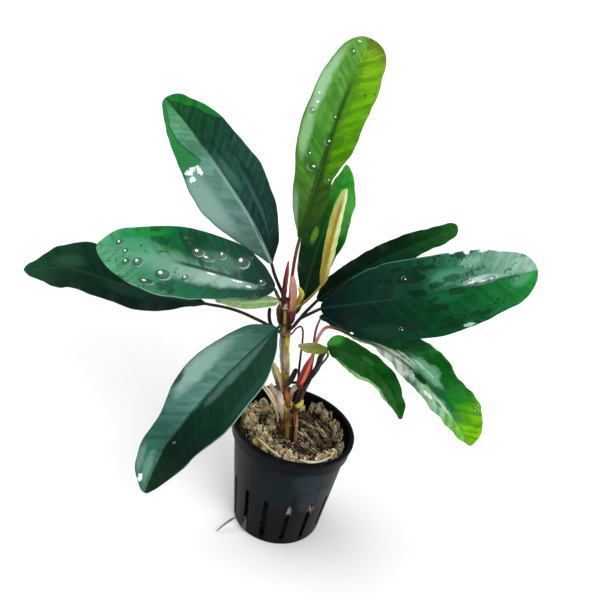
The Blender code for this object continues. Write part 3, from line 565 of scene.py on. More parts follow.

# %% [markdown]
# ## Fourteen leaves
# Each leaf is told in one entry: its stalk, its rib, its half-widths from base to tip, the way it faces, and its looks.
# Colours run from base (0) to tip (1); the grey halves hold painted sheen. Tint and sheen ovals are in shares of the
# blade, the pale grey and white ones painted sheen, and beads are drops in mm.

# %% The leaves
LEAVES = [
    dict(
        name="leaf_upright", slot="bright_leaf", fold=0.12, waves=(3.2, 0.5, 0.1), ragged=0.5, joint=(-18.4, 0.2, 102),
        stalk=[(-17.9, 1.1, 106.2), (-18.7, 1.3, 111), (-19.9, 1.5, 118.5), (-20.7, 1.7, 126)],
        rib=[(-21, 2, 132), (-21, 4, 150.5), (-20.8, 6, 169.5), (-20, 9.5, 188), (-18, 14, 206.5)],
        left=[0.6, 1.5, 4, 7, 9, 11.5, 11.5, 10.5, 8.5, 5, 0.5],
        right=[0.6, 1.5, 3.5, 6, 5.5, 9, 9.5, 10, 9, 6, 0.5],
        faces=[(-0.1, -1, 0.15), (0.1, -0.9, 0.5)],
        look=dict(
            left=[(0.0, (40, 52, 18)), (0.1, (62, 98, 42)), (0.3, (74, 130, 40)), (0.5, (72, 145, 48)),
                  (0.75, (92, 158, 62)), (1.0, (100, 160, 62))],
            right=[(0.0, (40, 52, 16)), (0.3, (52, 96, 14)), (0.42, (84, 150, 8)), (0.7, (98, 168, 14)),
                   (0.92, (122, 176, 30)), (1.0, (120, 126, 45))],
            rib=(30, 62, 14), edge=(60, 96, 40), wet_tone=(26, 74, 14), wet=(0.66, 0.7), vein_strength=0.25,
            mottle=0.7, rib_width=1.5, rib_strength=0.85, rib_ends=(0.9, 0.7), edge_strength=0.7, shine=0.07,
            tint_and_sheen=[(0.12, 0.3, 0.26, 0.36, (32, 66, 12), 0.8), (0.16, 0.7, 0.18, 0.3, (66, 124, 26), 0.7),
                   (-0.4, 0.36, 0.3, 0.07, (42, 96, 16), 0.7), (0.35, 0.52, 0.2, 0.06, (52, 106, 10), 0.6),
                   (-0.8, 0.76, 0.22, 0.2, (165, 205, 165), 0.7), (-0.78, 0.52, 0.2, 0.14, (160, 200, 150), 0.6),
                   (-0.85, 0.14, 0.25, 0.12, (130, 165, 125), 0.6), (-0.35, 0.62, 0.12, 0.2, (58, 120, 40), 0.5)],
            glints=[(-8.4, 50.0, 0.5, 0.45), (-8.9, 53.0, 0.4, 0.4), (-3.0, 73.5, 0.6, 0.3)],
            beads=[(-3.3, 27.3, 1.9, 1.5), (-0.6, 37.7, 1.2, 1.4), (-1.2, 46.5, 1.0, 1.2), (-9.3, 46.5, 1.2, 1.3),
                   (-3.7, 69.3, 1.0, 1.3), (-5.7, 31.7, 1.1, 1.1), (3.5, 24.5, 1.0, 1.0)],
            drizzle=0.34, under=(120, 160, 70)),
        stalk_tones=((0.0, (95, 30, 30)), (0.2, (150, 55, 50)), (0.34, (110, 35, 36)), (0.5, (80, 70, 30)),
                     (1.0, (70, 110, 36))),
    ),
    dict(
        name="leaf_behind", slot="bright_leaf", fold=0.15, waves=(4.5, 0.9, 0.3), ragged=0.5, joint=(-17, 0.8, 95),
        stalk=[(-15.8, 3.1, 97.3), (-13.6, 5, 99.5)],
        rib=[(-13, 6, 104.5), (-13.5, 9, 118), (-13.5, 12, 131.5), (-13, 14, 145), (-12.5, 16, 159)],
        left=[0.6, 1, 3, 5, 6.5, 6.5, 5, 3.5, 2, 1, 0],
        right=[0.6, 1.5, 4, 6, 7.5, 9, 8.5, 7.5, 5, 2, 0],
        faces=[(0, -1, 0.1), (0, -0.95, 0.3)],
        look=dict(
            left=[(0.0, (12, 32, 18)), (0.35, (10, 48, 24)), (0.6, (26, 84, 26)), (0.8, (52, 130, 40)),
                  (1.0, (70, 150, 50))],
            right=[(0.0, (8, 24, 14)), (0.4, (8, 58, 24)), (0.62, (30, 124, 36)), (0.8, (42, 158, 40)),
                   (1.0, (70, 170, 60))],
            rib=(40, 100, 45), edge=(110, 185, 110), wet_tone=(4, 36, 14), shine=0.08, rib_strength=0.35,
            tint_and_sheen=[(-0.4, 0.47, 0.2, 0.08, (110, 156, 40), 0.7), (0.75, 0.72, 0.3, 0.2, (110, 190, 90), 0.35)],
            under=(90, 150, 80)),
        stalk_tones=((0.0, (40, 22, 20)), (0.5, (20, 34, 16)), (1.0, (40, 80, 30))),
    ),
    dict(
        name="leaf_upper_left", slot="dark_leaf", fold=0.2, waves=(2.4, 0.45, 0.4), ragged=0.45,
        joint=(-19.4, 0.4, 103.5), stalk=[(-21.2, 1.2, 107.4), (-23.4, 2, 110), (-26, 3.2, 113)],
        rib=[(-28.5, 4, 117), (-41, 10, 129), (-55, 16, 139), (-69, 19, 150), (-84, 22, 160)],
        left=[0.6, 2, 5, 9.5, 13.5, 14, 12, 9.5, 6, 3, 0],
        right=[0.6, 2, 6, 10, 13, 14.5, 13, 11.5, 8, 5, 0],
        faces=[(0.1, -0.9, 0.45), (0.25, -0.85, 0.5)],
        look=dict(
            left=[(0.0, (52, 84, 78)), (0.12, (76, 106, 100)), (0.35, (92, 128, 120)), (0.58, (98, 144, 130)),
                  (0.7, (76, 128, 106)), (0.88, (92, 160, 116)), (1.0, (36, 110, 50))],
            right=[(0.0, (12, 32, 30)), (0.3, (32, 64, 58)), (0.55, (38, 80, 70)), (0.7, (22, 66, 48)),
                   (0.88, (20, 74, 40)), (1.0, (28, 98, 38))],
            rib=(126, 160, 152), edge=(30, 82, 56), wet_tone=(10, 38, 32), rib_strength=0.75, rib_ends=(0.72, 0.5),
            rib_width=0.9, edge_strength=0.5, vein_strength=0.1, shine=0.05, mottle=0.65,
            rims=[(-1, (26, 122, 52), ((0.6, 0.0), (0.64, 0.82), (0.7, 0.66), (0.78, 0.44), (0.88, 0.34), (1.0, 0.7))),
                  (1, (28, 116, 44), ((0.72, 0.0), (0.78, 0.3), (0.88, 0.46), (0.95, 0.75), (1.0, 1.1)))],
            tint_and_sheen=[(-0.75, 0.42, 0.35, 0.24, (134, 164, 157), 0.6), (0.2, 0.5, 0.14, 0.12, (66, 110, 98), 0.5),
                   (0.45, 0.3, 0.06, 0.2, (60, 96, 88), 0.6), (0.6, 0.48, 0.05, 0.14, (16, 46, 40), 0.7),
                   (0.3, 0.62, 0.06, 0.16, (14, 48, 38), 0.6)],
            glints=[(-8.9, 45.5, 2.6, 1.3), (-6.2, 44.2, 1.2, 2.0), (-10.4, 42.6, 1.5, 1.0)], under=(85, 120, 95)),
        stalk_tones=((0.0, (40, 18, 18)), (0.4, (30, 22, 18)), (0.55, (50, 70, 50)), (1.0, (60, 110, 90))),
    ),
    dict(
        name="leaf_left_wet", slot="dark_leaf", fold=0.05, waves=(2.6, 0.4, 0.7), ragged=0.4,
        joint=(-19.8, -0.8, 104.3), stalk=[(-22.4, -1.4, 107.2)],
        rib=[(-24.5, -3, 111), (-40.5, -7.5, 113), (-56.5, -12, 115), (-73.5, -14, 115), (-90, -16, 113.5)],
        left=[0.6, 3, 6, 8, 10.5, 13, 14, 12, 8.5, 4, 0],
        right=[0.6, 3, 7.5, 12, 13.5, 14, 12.5, 10, 7.5, 3, 0],
        faces=[(0.1, -0.75, 0.65), (-0.1, -0.6, 0.8)],
        look=dict(
            left=[(0.0, (18, 50, 40)), (0.25, (28, 80, 60)), (0.5, (34, 104, 72)), (0.7, (66, 130, 98)),
                  (0.9, (84, 154, 114)), (1.0, (96, 162, 124))],
            right=[(0.0, (16, 48, 38)), (0.25, (8, 66, 46)), (0.5, (8, 84, 50)), (0.7, (18, 110, 58)),
                   (0.88, (44, 138, 86)), (1.0, (90, 158, 118))],
            rib=(8, 44, 34), edge=(130, 175, 145), wet_tone=(4, 44, 30), wet=(0.57, 0.6), drizzle=0.3, shine=0.04, edge_right=(20, 92, 54),
            rib_strength=0.9, rib_width=1.0, rib_ends=(0.62, 0.5),
            tint_and_sheen=[(-0.22, 0.34, 0.34, 0.26, (152, 182, 170), 0.8), (-0.1, 0.6, 0.42, 0.2, (112, 156, 134), 0.7),
                   (0.3, 0.32, 0.3, 0.14, (84, 130, 112), 0.6), (0.15, 0.78, 0.5, 0.16, (84, 152, 116), 0.6),
                   (0.75, 0.5, 0.25, 0.1, (4, 52, 30), 0.8), (0.35, 0.5, 0.2, 0.06, (6, 62, 38), 0.7),
                   (0.8, 0.75, 0.25, 0.12, (20, 130, 44), 0.7)],
            glints=[(-1.2, 15.0, 0.35, 2.4), (-1.0, 24.5, 0.3, 1.6), (-2.2, 10.0, 0.3, 1.2)],
            beads=[(2.5, 59.3, 1.4, 1.5), (-0.5, 56.6, 1.3, 1.2), (-4.5, 55.6, 1.6, 1.5), (-3.8, 51.4, 2.0, 2.0),
                   (-6.3, 41.5, 2.2, 3.1), (-10.3, 46.6, 1.1, 3.2), (-5.2, 33.5, 1.4, 1.5), (5.4, 31.0, 1.7, 2.6),
                   (4.1, 27.0, 1.2, 2.8), (6.7, 21.9, 1.7, 1.6), (6.0, 13.8, 2.4, 3.0), (0.6, 5.2, 1.2, 1.6)],
            puddles=[(6.1, 45.4, 1.6, 3.2), (-10.8, 39.5, 1.6, 3.0)], under=(88, 132, 96)),
        stalk_tones=((0.0, (60, 26, 20)), (0.12, (110, 88, 62)), (0.2, (50, 60, 40)), (1.0, (40, 100, 60))),
    ),
    dict(
        name="leaf_left_dark", slot="dark_leaf", fold=0.12, waves=(5.0, 1.0, 0.0), ragged=0.5, joint=(-16, 0, 91.4),
        stalk=[(-19.1, -0.4, 91.8), (-25.5, 0.5, 92.8), (-37, 1.5, 93.6)],
        rib=[(-48.5, 2, 92), (-67.5, 5, 87), (-87, 8, 85), (-106.5, 10, 83), (-124.5, 12, 74.5)],
        left=[0.5, 1, 2.5, 5.5, 8, 8, 7.5, 8, 4.5, 2, 0],
        right=[0.5, 1.5, 3.5, 6, 8, 10, 12, 9.5, 4.5, 2.5, 0],
        faces=[(0, -0.8, 0.6), (-0.2, -0.7, 0.7)],
        look=dict(
            left=[(0.0, (16, 44, 34)), (0.45, (10, 40, 28)), (0.75, (12, 46, 30)), (1.0, (24, 70, 42))],
            right=[(0.0, (16, 44, 34)), (0.5, (14, 50, 34)), (0.8, (20, 56, 36)), (1.0, (28, 78, 46))],
            rib=(30, 74, 54), edge=(36, 84, 60), wet_tone=(4, 20, 12), vein_strength=0.08, shine=0.05,
            rib_strength=0.4, tint_and_sheen=[(-0.2, 0.42, 0.3, 0.16, (26, 68, 52), 0.6), (0.3, 0.75, 0.3, 0.1, (40, 84, 62), 0.6)],
            under=(50, 84, 58)),
        stalk_tones=((0.0, (40, 20, 18)), (0.3, (64, 42, 28)), (0.5, (25, 45, 30)), (1.0, (20, 52, 34))),
    ),
    dict(
        name="leaf_front", slot="dark_leaf", fold=0.12, waves=(2.6, 0.4, 0.2), ragged=0.35, joint=(-16.2, -0.8, 95.6),
        stalk=[(-17.9, -3.1, 96)],
        rib=[(-19.2, -4.4, 95.4), (-29, -19.5, 84.5), (-38, -34.5, 72.5), (-45.5, -39.5, 53), (-48.5, -44, 32)],
        left=[0.6, 2.5, 7.5, 12, 14, 14.5, 12, 10, 6, 2.5, 0],
        right=[0.6, 3.5, 8.5, 11.5, 13.5, 12.5, 8.5, 8.5, 7, 3, 0],
        faces=[(-0.15, -0.65, 0.75), (-0.2, -0.95, 0.2)],
        look=dict(
            left=[(0.0, (30, 66, 50)), (0.3, (18, 54, 40)), (0.5, (14, 48, 34)), (0.72, (8, 32, 23)),
                  (1.0, (18, 52, 34))],
            right=[(0.0, (46, 90, 76)), (0.25, (78, 122, 110)), (0.5, (82, 126, 116)), (0.7, (42, 90, 80)),
                   (0.86, (60, 108, 90)), (1.0, (70, 112, 80))],
            rib=(20, 62, 48), edge=(150, 190, 170), wet_tone=(8, 36, 28), rib_strength=0.6, wet=(0.64, 0.68),
            rib_ends=(0.75, 0.5), vein_strength=0.1, shine=0.04, mottle=0.6, edge_right=(24, 70, 54),
            tint_and_sheen=[(0.72, 0.34, 0.3, 0.22, (140, 172, 162), 0.7), (-0.14, 0.26, 0.14, 0.24, (74, 112, 98), 0.7),
                   (0.95, 0.47, 0.12, 0.05, (18, 48, 38), 0.85), (0.8, 0.85, 0.2, 0.08, (110, 152, 146), 0.6),
                   (0.45, 0.2, 0.3, 0.1, (66, 110, 98), 0.5), (0.35, 0.88, 0.25, 0.1, (110, 158, 134), 0.6),
                   (-0.85, 0.3, 0.12, 0.2, (26, 74, 56), 0.5)],
            glints=[(3.6, 80.6, 0.9, 1.9)], beads=[(-2.0, 60.0, 0.6, 0.8)], under=(82, 118, 92)),
        stalk_tones=((0.0, (48, 28, 22)), (0.2, (30, 60, 44)), (1.0, (24, 70, 50))),
    ),
    dict(
        name="leaf_right", slot="dark_leaf", fold=0.08, waves=(4.2, 0.45, 0.6), ragged=0.55, joint=(-15.6, -0.4, 93.6),
        stalk=[(-13.9, -2, 95.6), (-11.9, -2.5, 101.2), (-8.9, -2, 104.4)],
        rib=[(-5.5, -1, 107.5), (11.5, -4, 118.5), (28, -7.5, 130), (45, -7, 141), (62, -6, 152.5)],
        left=[0.6, 3, 6.5, 11.5, 13.5, 14, 13, 11.5, 8.5, 5, 0],
        right=[0.6, 4, 8, 12.5, 14.5, 15.5, 15, 12.5, 9.5, 5, 0],
        faces=[(-0.1, -0.8, 0.6), (0.15, -0.8, 0.6)],
        look=dict(
            left=[(0.0, (6, 22, 20)), (0.3, (14, 54, 40)), (0.5, (24, 76, 50)), (0.66, (50, 116, 84)),
                  (0.82, (110, 160, 136)), (0.92, (140, 180, 160)), (1.0, (170, 202, 186))],
            right=[(0.0, (5, 20, 22)), (0.3, (10, 46, 32)), (0.5, (8, 64, 34)), (0.7, (10, 84, 38)),
                   (0.86, (28, 112, 54)), (1.0, (36, 146, 52))],
            rib=(12, 58, 42), edge=(90, 140, 118), wet_tone=(3, 26, 18), wet=(0.54, 0.59), rib_strength=0.6, shine=0.05, edge_right=(14, 60, 38),
            tint_and_sheen=[(-0.1, 0.76, 0.14, 0.1, (180, 208, 196), 0.8), (-0.35, 0.62, 0.25, 0.1, (80, 150, 116), 0.6),
                   (0.2, 0.93, 0.3, 0.06, (92, 156, 120), 0.6), (0.1, 0.6, 0.2, 0.1, (26, 98, 58), 0.6),
                   (0.8, 0.3, 0.2, 0.12, (30, 62, 46), 0.5)],
            glints=[(-1.2, 58.5, 0.3, 1.6), (-0.7, 62.5, 0.25, 1.2), (-12.4, 66.0, 0.4, 0.7), (-11.6, 73.0, 0.4, 0.9)],
            puddles=[(-6.3, 37.7, 1.5, 5.0), (-0.8, 38.5, 1.3, 5.5), (-4.2, 52.5, 1.3, 5.0), (-9.2, 44.5, 1.0, 3.0),
                     (-10.4, 31.4, 0.9, 3.4), (0.9, 52.5, 1.1, 4.0), (10.6, 34.5, 1.4, 5.0), (12.0, 50.3, 1.2, 3.4),
                     (10.2, 61.0, 1.1, 5.0), (5.4, 44.5, 1.4, 4.6), (-6.7, 26.8, 1.2, 2.6), (-2.8, 45.5, 1.0, 3.2)],
            flecks=[(-12.2, 59.3, 1.0, 0.9, (236, 244, 240), 0.9), (-11.6, 65.0, 1.0, 1.6, (228, 240, 234), 0.9),
                    (-9.9, 71.0, 0.8, 1.8, (226, 240, 232), 0.8), (-13.0, 54.0, 0.7, 1.0, (222, 236, 230), 0.8),
                    (13.4, 55.0, 0.8, 2.4, (176, 214, 186), 0.7), (-8.0, 60.0, 2.0, 4.0, (128, 176, 152), 0.6)],
            beads=[(-7.0, 34.5, 0.9, 1.3), (-1.1, 64.8, 0.9, 2.4), (11.1, 31.4, 0.8, 1.0)],
            under=(82, 122, 92)),
        stalk_tones=((0.0, (34, 18, 18)), (0.3, (26, 20, 18)), (0.5, (14, 44, 34)), (1.0, (20, 70, 45))),
    ),
    dict(
        name="leaf_right_behind", slot="dark_leaf", fold=0.12, waves=(4.5, 0.6, 0.2), ragged=0.5,
        joint=(-15.4, 0.5, 92.2), stalk=[(-13.5, 2, 93.7), (-11.2, 3, 99.8), (-9.5, 4, 103.2)],
        rib=[(-7.5, 5, 107), (1.5, 9.5, 118), (11.5, 14, 128), (22.5, 17, 137.5), (34, 20, 147)],
        left=[0.5, 1.5, 4.5, 5, 5, 5, 5, 4, 2.5, 2, 0],
        right=[0.5, 1.5, 3.5, 5.5, 6.5, 6, 5, 4, 4, 3, 0],
        faces=[(0, -0.8, 0.6), (0.1, -0.7, 0.7)],
        look=dict(
            left=[(0.0, (5, 18, 10)), (0.5, (6, 36, 17)), (0.75, (5, 50, 20)), (1.0, (34, 96, 40))],
            right=[(0.0, (8, 26, 16)), (0.4, (12, 44, 28)), (0.7, (10, 60, 26)), (1.0, (32, 98, 34))],
            rib=(16, 52, 30), edge=(22, 66, 38), wet_tone=(3, 16, 8), shine=0.06, vein_strength=0.06, under=(56, 92, 56)),
        stalk_tones=((0.0, (30, 18, 16)), (1.0, (16, 46, 26))),
    ),
    dict(
        name="leaf_low_narrow", slot="bright_leaf", fold=0.12, waves=(4.0, 0.6, 0.5), ragged=0.5,
        joint=(-1.7, -5.8, 76), stalk=[(-1.4, -6.3, 79), (0.1, -7.8, 86), (0.1, -7.8, 91.5)],
        rib=[(1.4, -8, 96), (8.5, -11.5, 99), (18, -17, 100), (27.5, -22, 96), (34.5, -26, 88)],
        left=[1.2, 3, 5, 5.5, 4.5, 4.5, 4.5, 3.5, 3, 1, 0],
        right=[1, 1.5, 3.5, 4.5, 6, 6, 4, 4, 2, 1, 0],
        faces=[(-0.1, -0.8, 0.6), (0.3, -0.9, 0.3)], stalk_radius=(1.15, 0.6),
        look=dict(
            left=[(0.0, (30, 92, 34)), (0.15, (16, 84, 22)), (0.3, (6, 70, 10)), (0.7, (4, 70, 8)), (1.0, (16, 92, 14))],
            right=[(0.0, (14, 70, 20)), (0.3, (6, 78, 10)), (0.7, (4, 72, 8)), (1.0, (14, 88, 14))],
            rib=(3, 50, 8), edge=(40, 110, 44), wet_tone=(2, 48, 6), shine=0.1, vein_strength=0.08,
            tint_and_sheen=[(-0.7, 0.08, 0.5, 0.1, (62, 150, 52), 0.7), (0.9, 0.55, 0.14, 0.4, (140, 185, 125), 0.7),
                   (-0.2, 0.45, 0.3, 0.08, (40, 118, 44), 0.5)],
            under=(110, 160, 90)),
        stalk_tones=((0.0, (30, 17, 16)), (0.3, (44, 26, 20)), (0.5, (40, 70, 26)), (1.0, (14, 70, 14))),
    ),
    dict(
        name="leaf_low_right", slot="bright_leaf", fold=0.2, waves=(5.4, 1.2, 0.1), ragged=0.9, joint=(-1.8, -5.6, 79),
        stalk=[(-2, -5.4, 82.5), (-3.1, -3.6, 90.5), (-3, -2.2, 96), (-1.2, 0, 99.6), (3.5, 0.6, 100)],
        rib=[(9, -1, 100), (23, -7, 102), (37, -13.5, 99.5), (50, -20, 94), (62, -26, 86)],
        left=[0.6, 2, 3.5, 6.5, 10.5, 12, 10, 11, 8.5, 5, 0],
        right=[0.6, 0.6, 0.8, 1.5, 3.5, 4.5, 4.5, 4.5, 3, 1, 0],
        faces=[(0.1, -0.8, 0.6), (0.4, -0.85, 0.3)],
        look=dict(
            left=[(0.0, (60, 92, 70)), (0.25, (36, 92, 52)), (0.45, (24, 104, 40)), (0.66, (18, 100, 30)),
                  (0.76, (40, 136, 32)), (0.84, (104, 180, 12)), (1.0, (124, 196, 4))],
            right=[(0.0, (206, 214, 204)), (0.34, (208, 220, 210)), (0.5, (142, 174, 146)), (0.72, (140, 186, 144)),
                   (0.86, (124, 188, 74)), (1.0, (106, 184, 26))],
            rib=(20, 84, 50), edge=(96, 150, 84), wet_tone=(8, 60, 30), vein_strength=0.2, shine=0.06, mottle=0.9,
            tint_and_sheen=[(-0.06, 0.28, 0.14, 0.2, (214, 224, 216), 0.8), (-0.3, 0.5, 0.24, 0.16, (128, 180, 146), 0.7),
                   (-0.3, 0.24, 0.1, 0.2, (20, 70, 44), 0.6), (-0.1, 0.6, 0.07, 0.2, (34, 96, 60), 0.6),
                   (-0.86, 0.56, 0.3, 0.12, (10, 84, 14), 0.85), (-0.85, 0.34, 0.3, 0.1, (24, 68, 42), 0.8),
                   (-0.55, 0.7, 0.3, 0.1, (24, 106, 30), 0.7), (0.1, 0.72, 0.2, 0.08, (190, 218, 190), 0.7),
                   (0.85, 0.47, 0.35, 0.05, (16, 84, 66), 0.85)],
            flecks=[(0.2, 31.0, 1.2, 3.8, (6, 48, 28), 1.0), (-1.5, 41.0, 1.6, 3.0, (16, 84, 52), 0.85),
                    (-1.1, 46.5, 1.3, 2.6, (20, 92, 50), 0.85), (-5.0, 38.5, 1.2, 2.6, (14, 78, 30), 0.8),
                    (2.4, 37.0, 0.9, 2.6, (216, 226, 216), 0.85), (1.6, 43.0, 0.7, 2.0, (44, 110, 76), 0.8),
                    (-3.4, 29.0, 0.5, 5.0, (170, 208, 184), 0.75), (-2.4, 22.0, 0.4, 4.0, (196, 218, 204), 0.7),
                    (-0.4, 24.0, 0.35, 4.0, (16, 62, 44), 0.8), (-7.5, 30.0, 1.6, 3.0, (12, 76, 20), 0.8),
                    (-1.2, 51.0, 1.3, 2.2, (40, 116, 62), 0.7), (-5.6, 33.5, 1.4, 2.6, (96, 160, 124), 0.6)],
            beads=[(-8.2, 52.0, 0.8, 0.9)], under=(130, 176, 112)),
        stalk_tones=((0.0, (60, 26, 20)), (0.12, (150, 70, 60)), (0.3, (214, 132, 118)), (0.42, (150, 96, 66)),
                     (0.5, (90, 90, 50)), (1.0, (100, 160, 84))),
    ),
    dict(
        name="leaf_small_pale", slot="pale_leaf", fold=0.12, waves=(2.0, 0.2, 0.0), joint=(-19.4, -1.4, 104.6), stalk=[],
        rib=[(-21.8, -2.6, 105.8), (-27, -5.5, 105.5), (-32.5, -8, 104.5), (-38.5, -9, 103.5), (-44, -10, 102.5)],
        left=[0.7, 1.8, 2.4, 2.2, 1, 0], right=[0.6, 1.8, 2.6, 2, 1, 0],
        faces=[(0, -0.8, 0.6), (0, -0.8, 0.6)], stalk_radius=(0.6, 0.5),
        look=dict(
            left=[(0.0, (136, 160, 96)), (0.4, (142, 184, 112)), (1.0, (172, 190, 150))],
            right=[(0.0, (136, 158, 98)), (0.5, (120, 160, 100)), (1.0, (150, 176, 130))],
            rib=(176, 204, 146), edge=(185, 208, 158), wet_tone=(90, 140, 60), under=(150, 185, 115)),
        stalk_tones=((0.0, (175, 165, 135)), (1.0, (150, 190, 110))),
    ),
    dict(
        name="leaf_small_olive", slot="pale_leaf", fold=0.12, waves=(2.0, 0.2, 0.5), joint=(0.0, -8.2, 84),
        stalk=[(-0.2, -10.2, 86.5), (1.4, -11.2, 91.5), (2.2, -11, 95)],
        rib=[(1, -10.6, 96.6), (-1.5, -12, 97.4), (-4, -13.5, 97.8), (-6.5, -15, 98), (-9.5, -16, 98.5)],
        left=[0.8, 1.8, 2.2, 2, 1, 0], right=[0.6, 1.2, 1.8, 2, 1.2, 0],
        faces=[(0, -0.9, 0.4), (0, -0.9, 0.4)], stalk_radius=(0.45, 0.45),
        look=dict(
            left=[(0.0, (104, 132, 52)), (0.5, (126, 132, 50)), (1.0, (144, 142, 86))],
            right=[(0.0, (80, 120, 40)), (0.4, (104, 122, 48)), (0.7, (130, 134, 62)), (1.0, (146, 144, 92))],
            rib=(96, 104, 34), edge=(165, 168, 108), wet_tone=(80, 88, 25), under=(150, 155, 80)),
        stalk_tones=((0.0, (50, 30, 22)), (0.4, (70, 90, 34)), (1.0, (120, 128, 50))),
    ),
    dict(
        name="leaf_small_back", slot="dark_leaf", fold=0.12, waves=(2.0, 0.2, 0.2), joint=(-1.8, -5.0, 80),
        stalk=[(-2.3, -3, 83), (-3.4, -1, 88.5), (-4.7, 1.3, 96.2)],
        rib=[(-4.4, 3.2, 100.4), (-2, 4.6, 100.8), (1.6, 5, 99.4), (5, 5, 98.4), (8.4, 5, 97.4)],
        left=[0.5, 1.2, 1.8, 1.8, 1.2, 0], right=[0.5, 1.2, 1.8, 1.8, 1.2, 0],
        faces=[(0, -0.8, 0.6), (0, -0.8, 0.6)], stalk_radius=(0.5, 0.4),
        look=dict(
            left=[(0.0, (14, 46, 26)), (1.0, (12, 60, 28))], right=[(0.0, (20, 56, 30)), (1.0, (30, 84, 40))],
            rib=(40, 90, 52), edge=(60, 110, 66), wet_tone=(6, 30, 14), shine=0.06, under=(60, 100, 62)),
        stalk_tones=((0.0, (60, 40, 34)), (0.4, (120, 104, 96)), (1.0, (50, 80, 44))),
    ),
    dict(
        name="young_leaf", slot="young_leaf", fold=-0.7, waves=(2.0, 0.2, 0.2), ragged=0.3, joint=(-16.8, 0.9, 98),
        stalk=[(-15.5, 2.3, 100), (-12.5, 3.1, 104.6), (-10.2, 3, 109.2)],
        rib=[(-8, 1.8, 115.5), (-8.8, 2.5, 125), (-9.5, 4, 134.5), (-10, 6, 144), (-10, 8, 153.5)],
        left=[0.5, 1.6, 2.2, 2.7, 2.0, 0.1], right=[0.5, 1.6, 2.4, 2, 1.3, 0.1],
        faces=[(0, -1, 0.2), (0, -1, 0.2)], stalk_radius=(0.5, 0.45),
        look=dict(
            left=[(0.0, (140, 126, 46)), (0.3, (172, 160, 70)), (0.6, (190, 190, 96)), (1.0, (214, 222, 130))],
            right=[(0.0, (126, 112, 60)), (0.3, (204, 198, 128)), (0.6, (216, 224, 158)), (1.0, (222, 236, 184))],
            rib=(132, 116, 18), edge=(240, 245, 196), wet_tone=(150, 140, 50), rib_strength=0.85, rib_width=1.1,
            edge_strength=0.9, vein_strength=0.05, mottle=0.3,
            tint_and_sheen=[(-0.15, 0.3, 0.5, 0.3, (150, 132, 26), 0.85), (-0.15, 0.66, 0.38, 0.26, (178, 164, 44), 0.8),
                   (0.75, 0.45, 0.25, 0.2, (150, 190, 110), 0.5)],
            under=(225, 225, 150)),
        stalk_tones=((0.0, (60, 40, 25)), (0.35, (150, 130, 40)), (0.5, (190, 180, 70)), (1.0, (215, 215, 130))),
    ),
]

for leaf in LEAVES:
    top, under = blade_finish(leaf), underside_finish(leaf)
    stalk_top = stem_finish(leaf["name"] + "_stalk", leaf["stalk_tones"])
    piece = joined("grown_" + leaf["name"], add_stalk(leaf, stalk_top), add_blade(leaf, top, under))
    place(piece, leaf["name"])

# %% [markdown]
# ## Stems, shoots and roots
# The rhizome that carries the leaves is thick and ringed, and the pieces on it are thin: shoots, dry sheaths, the
# stub of an old stalk and roots in the air. Each one is a round stem with colours of its own, from foot to tip.

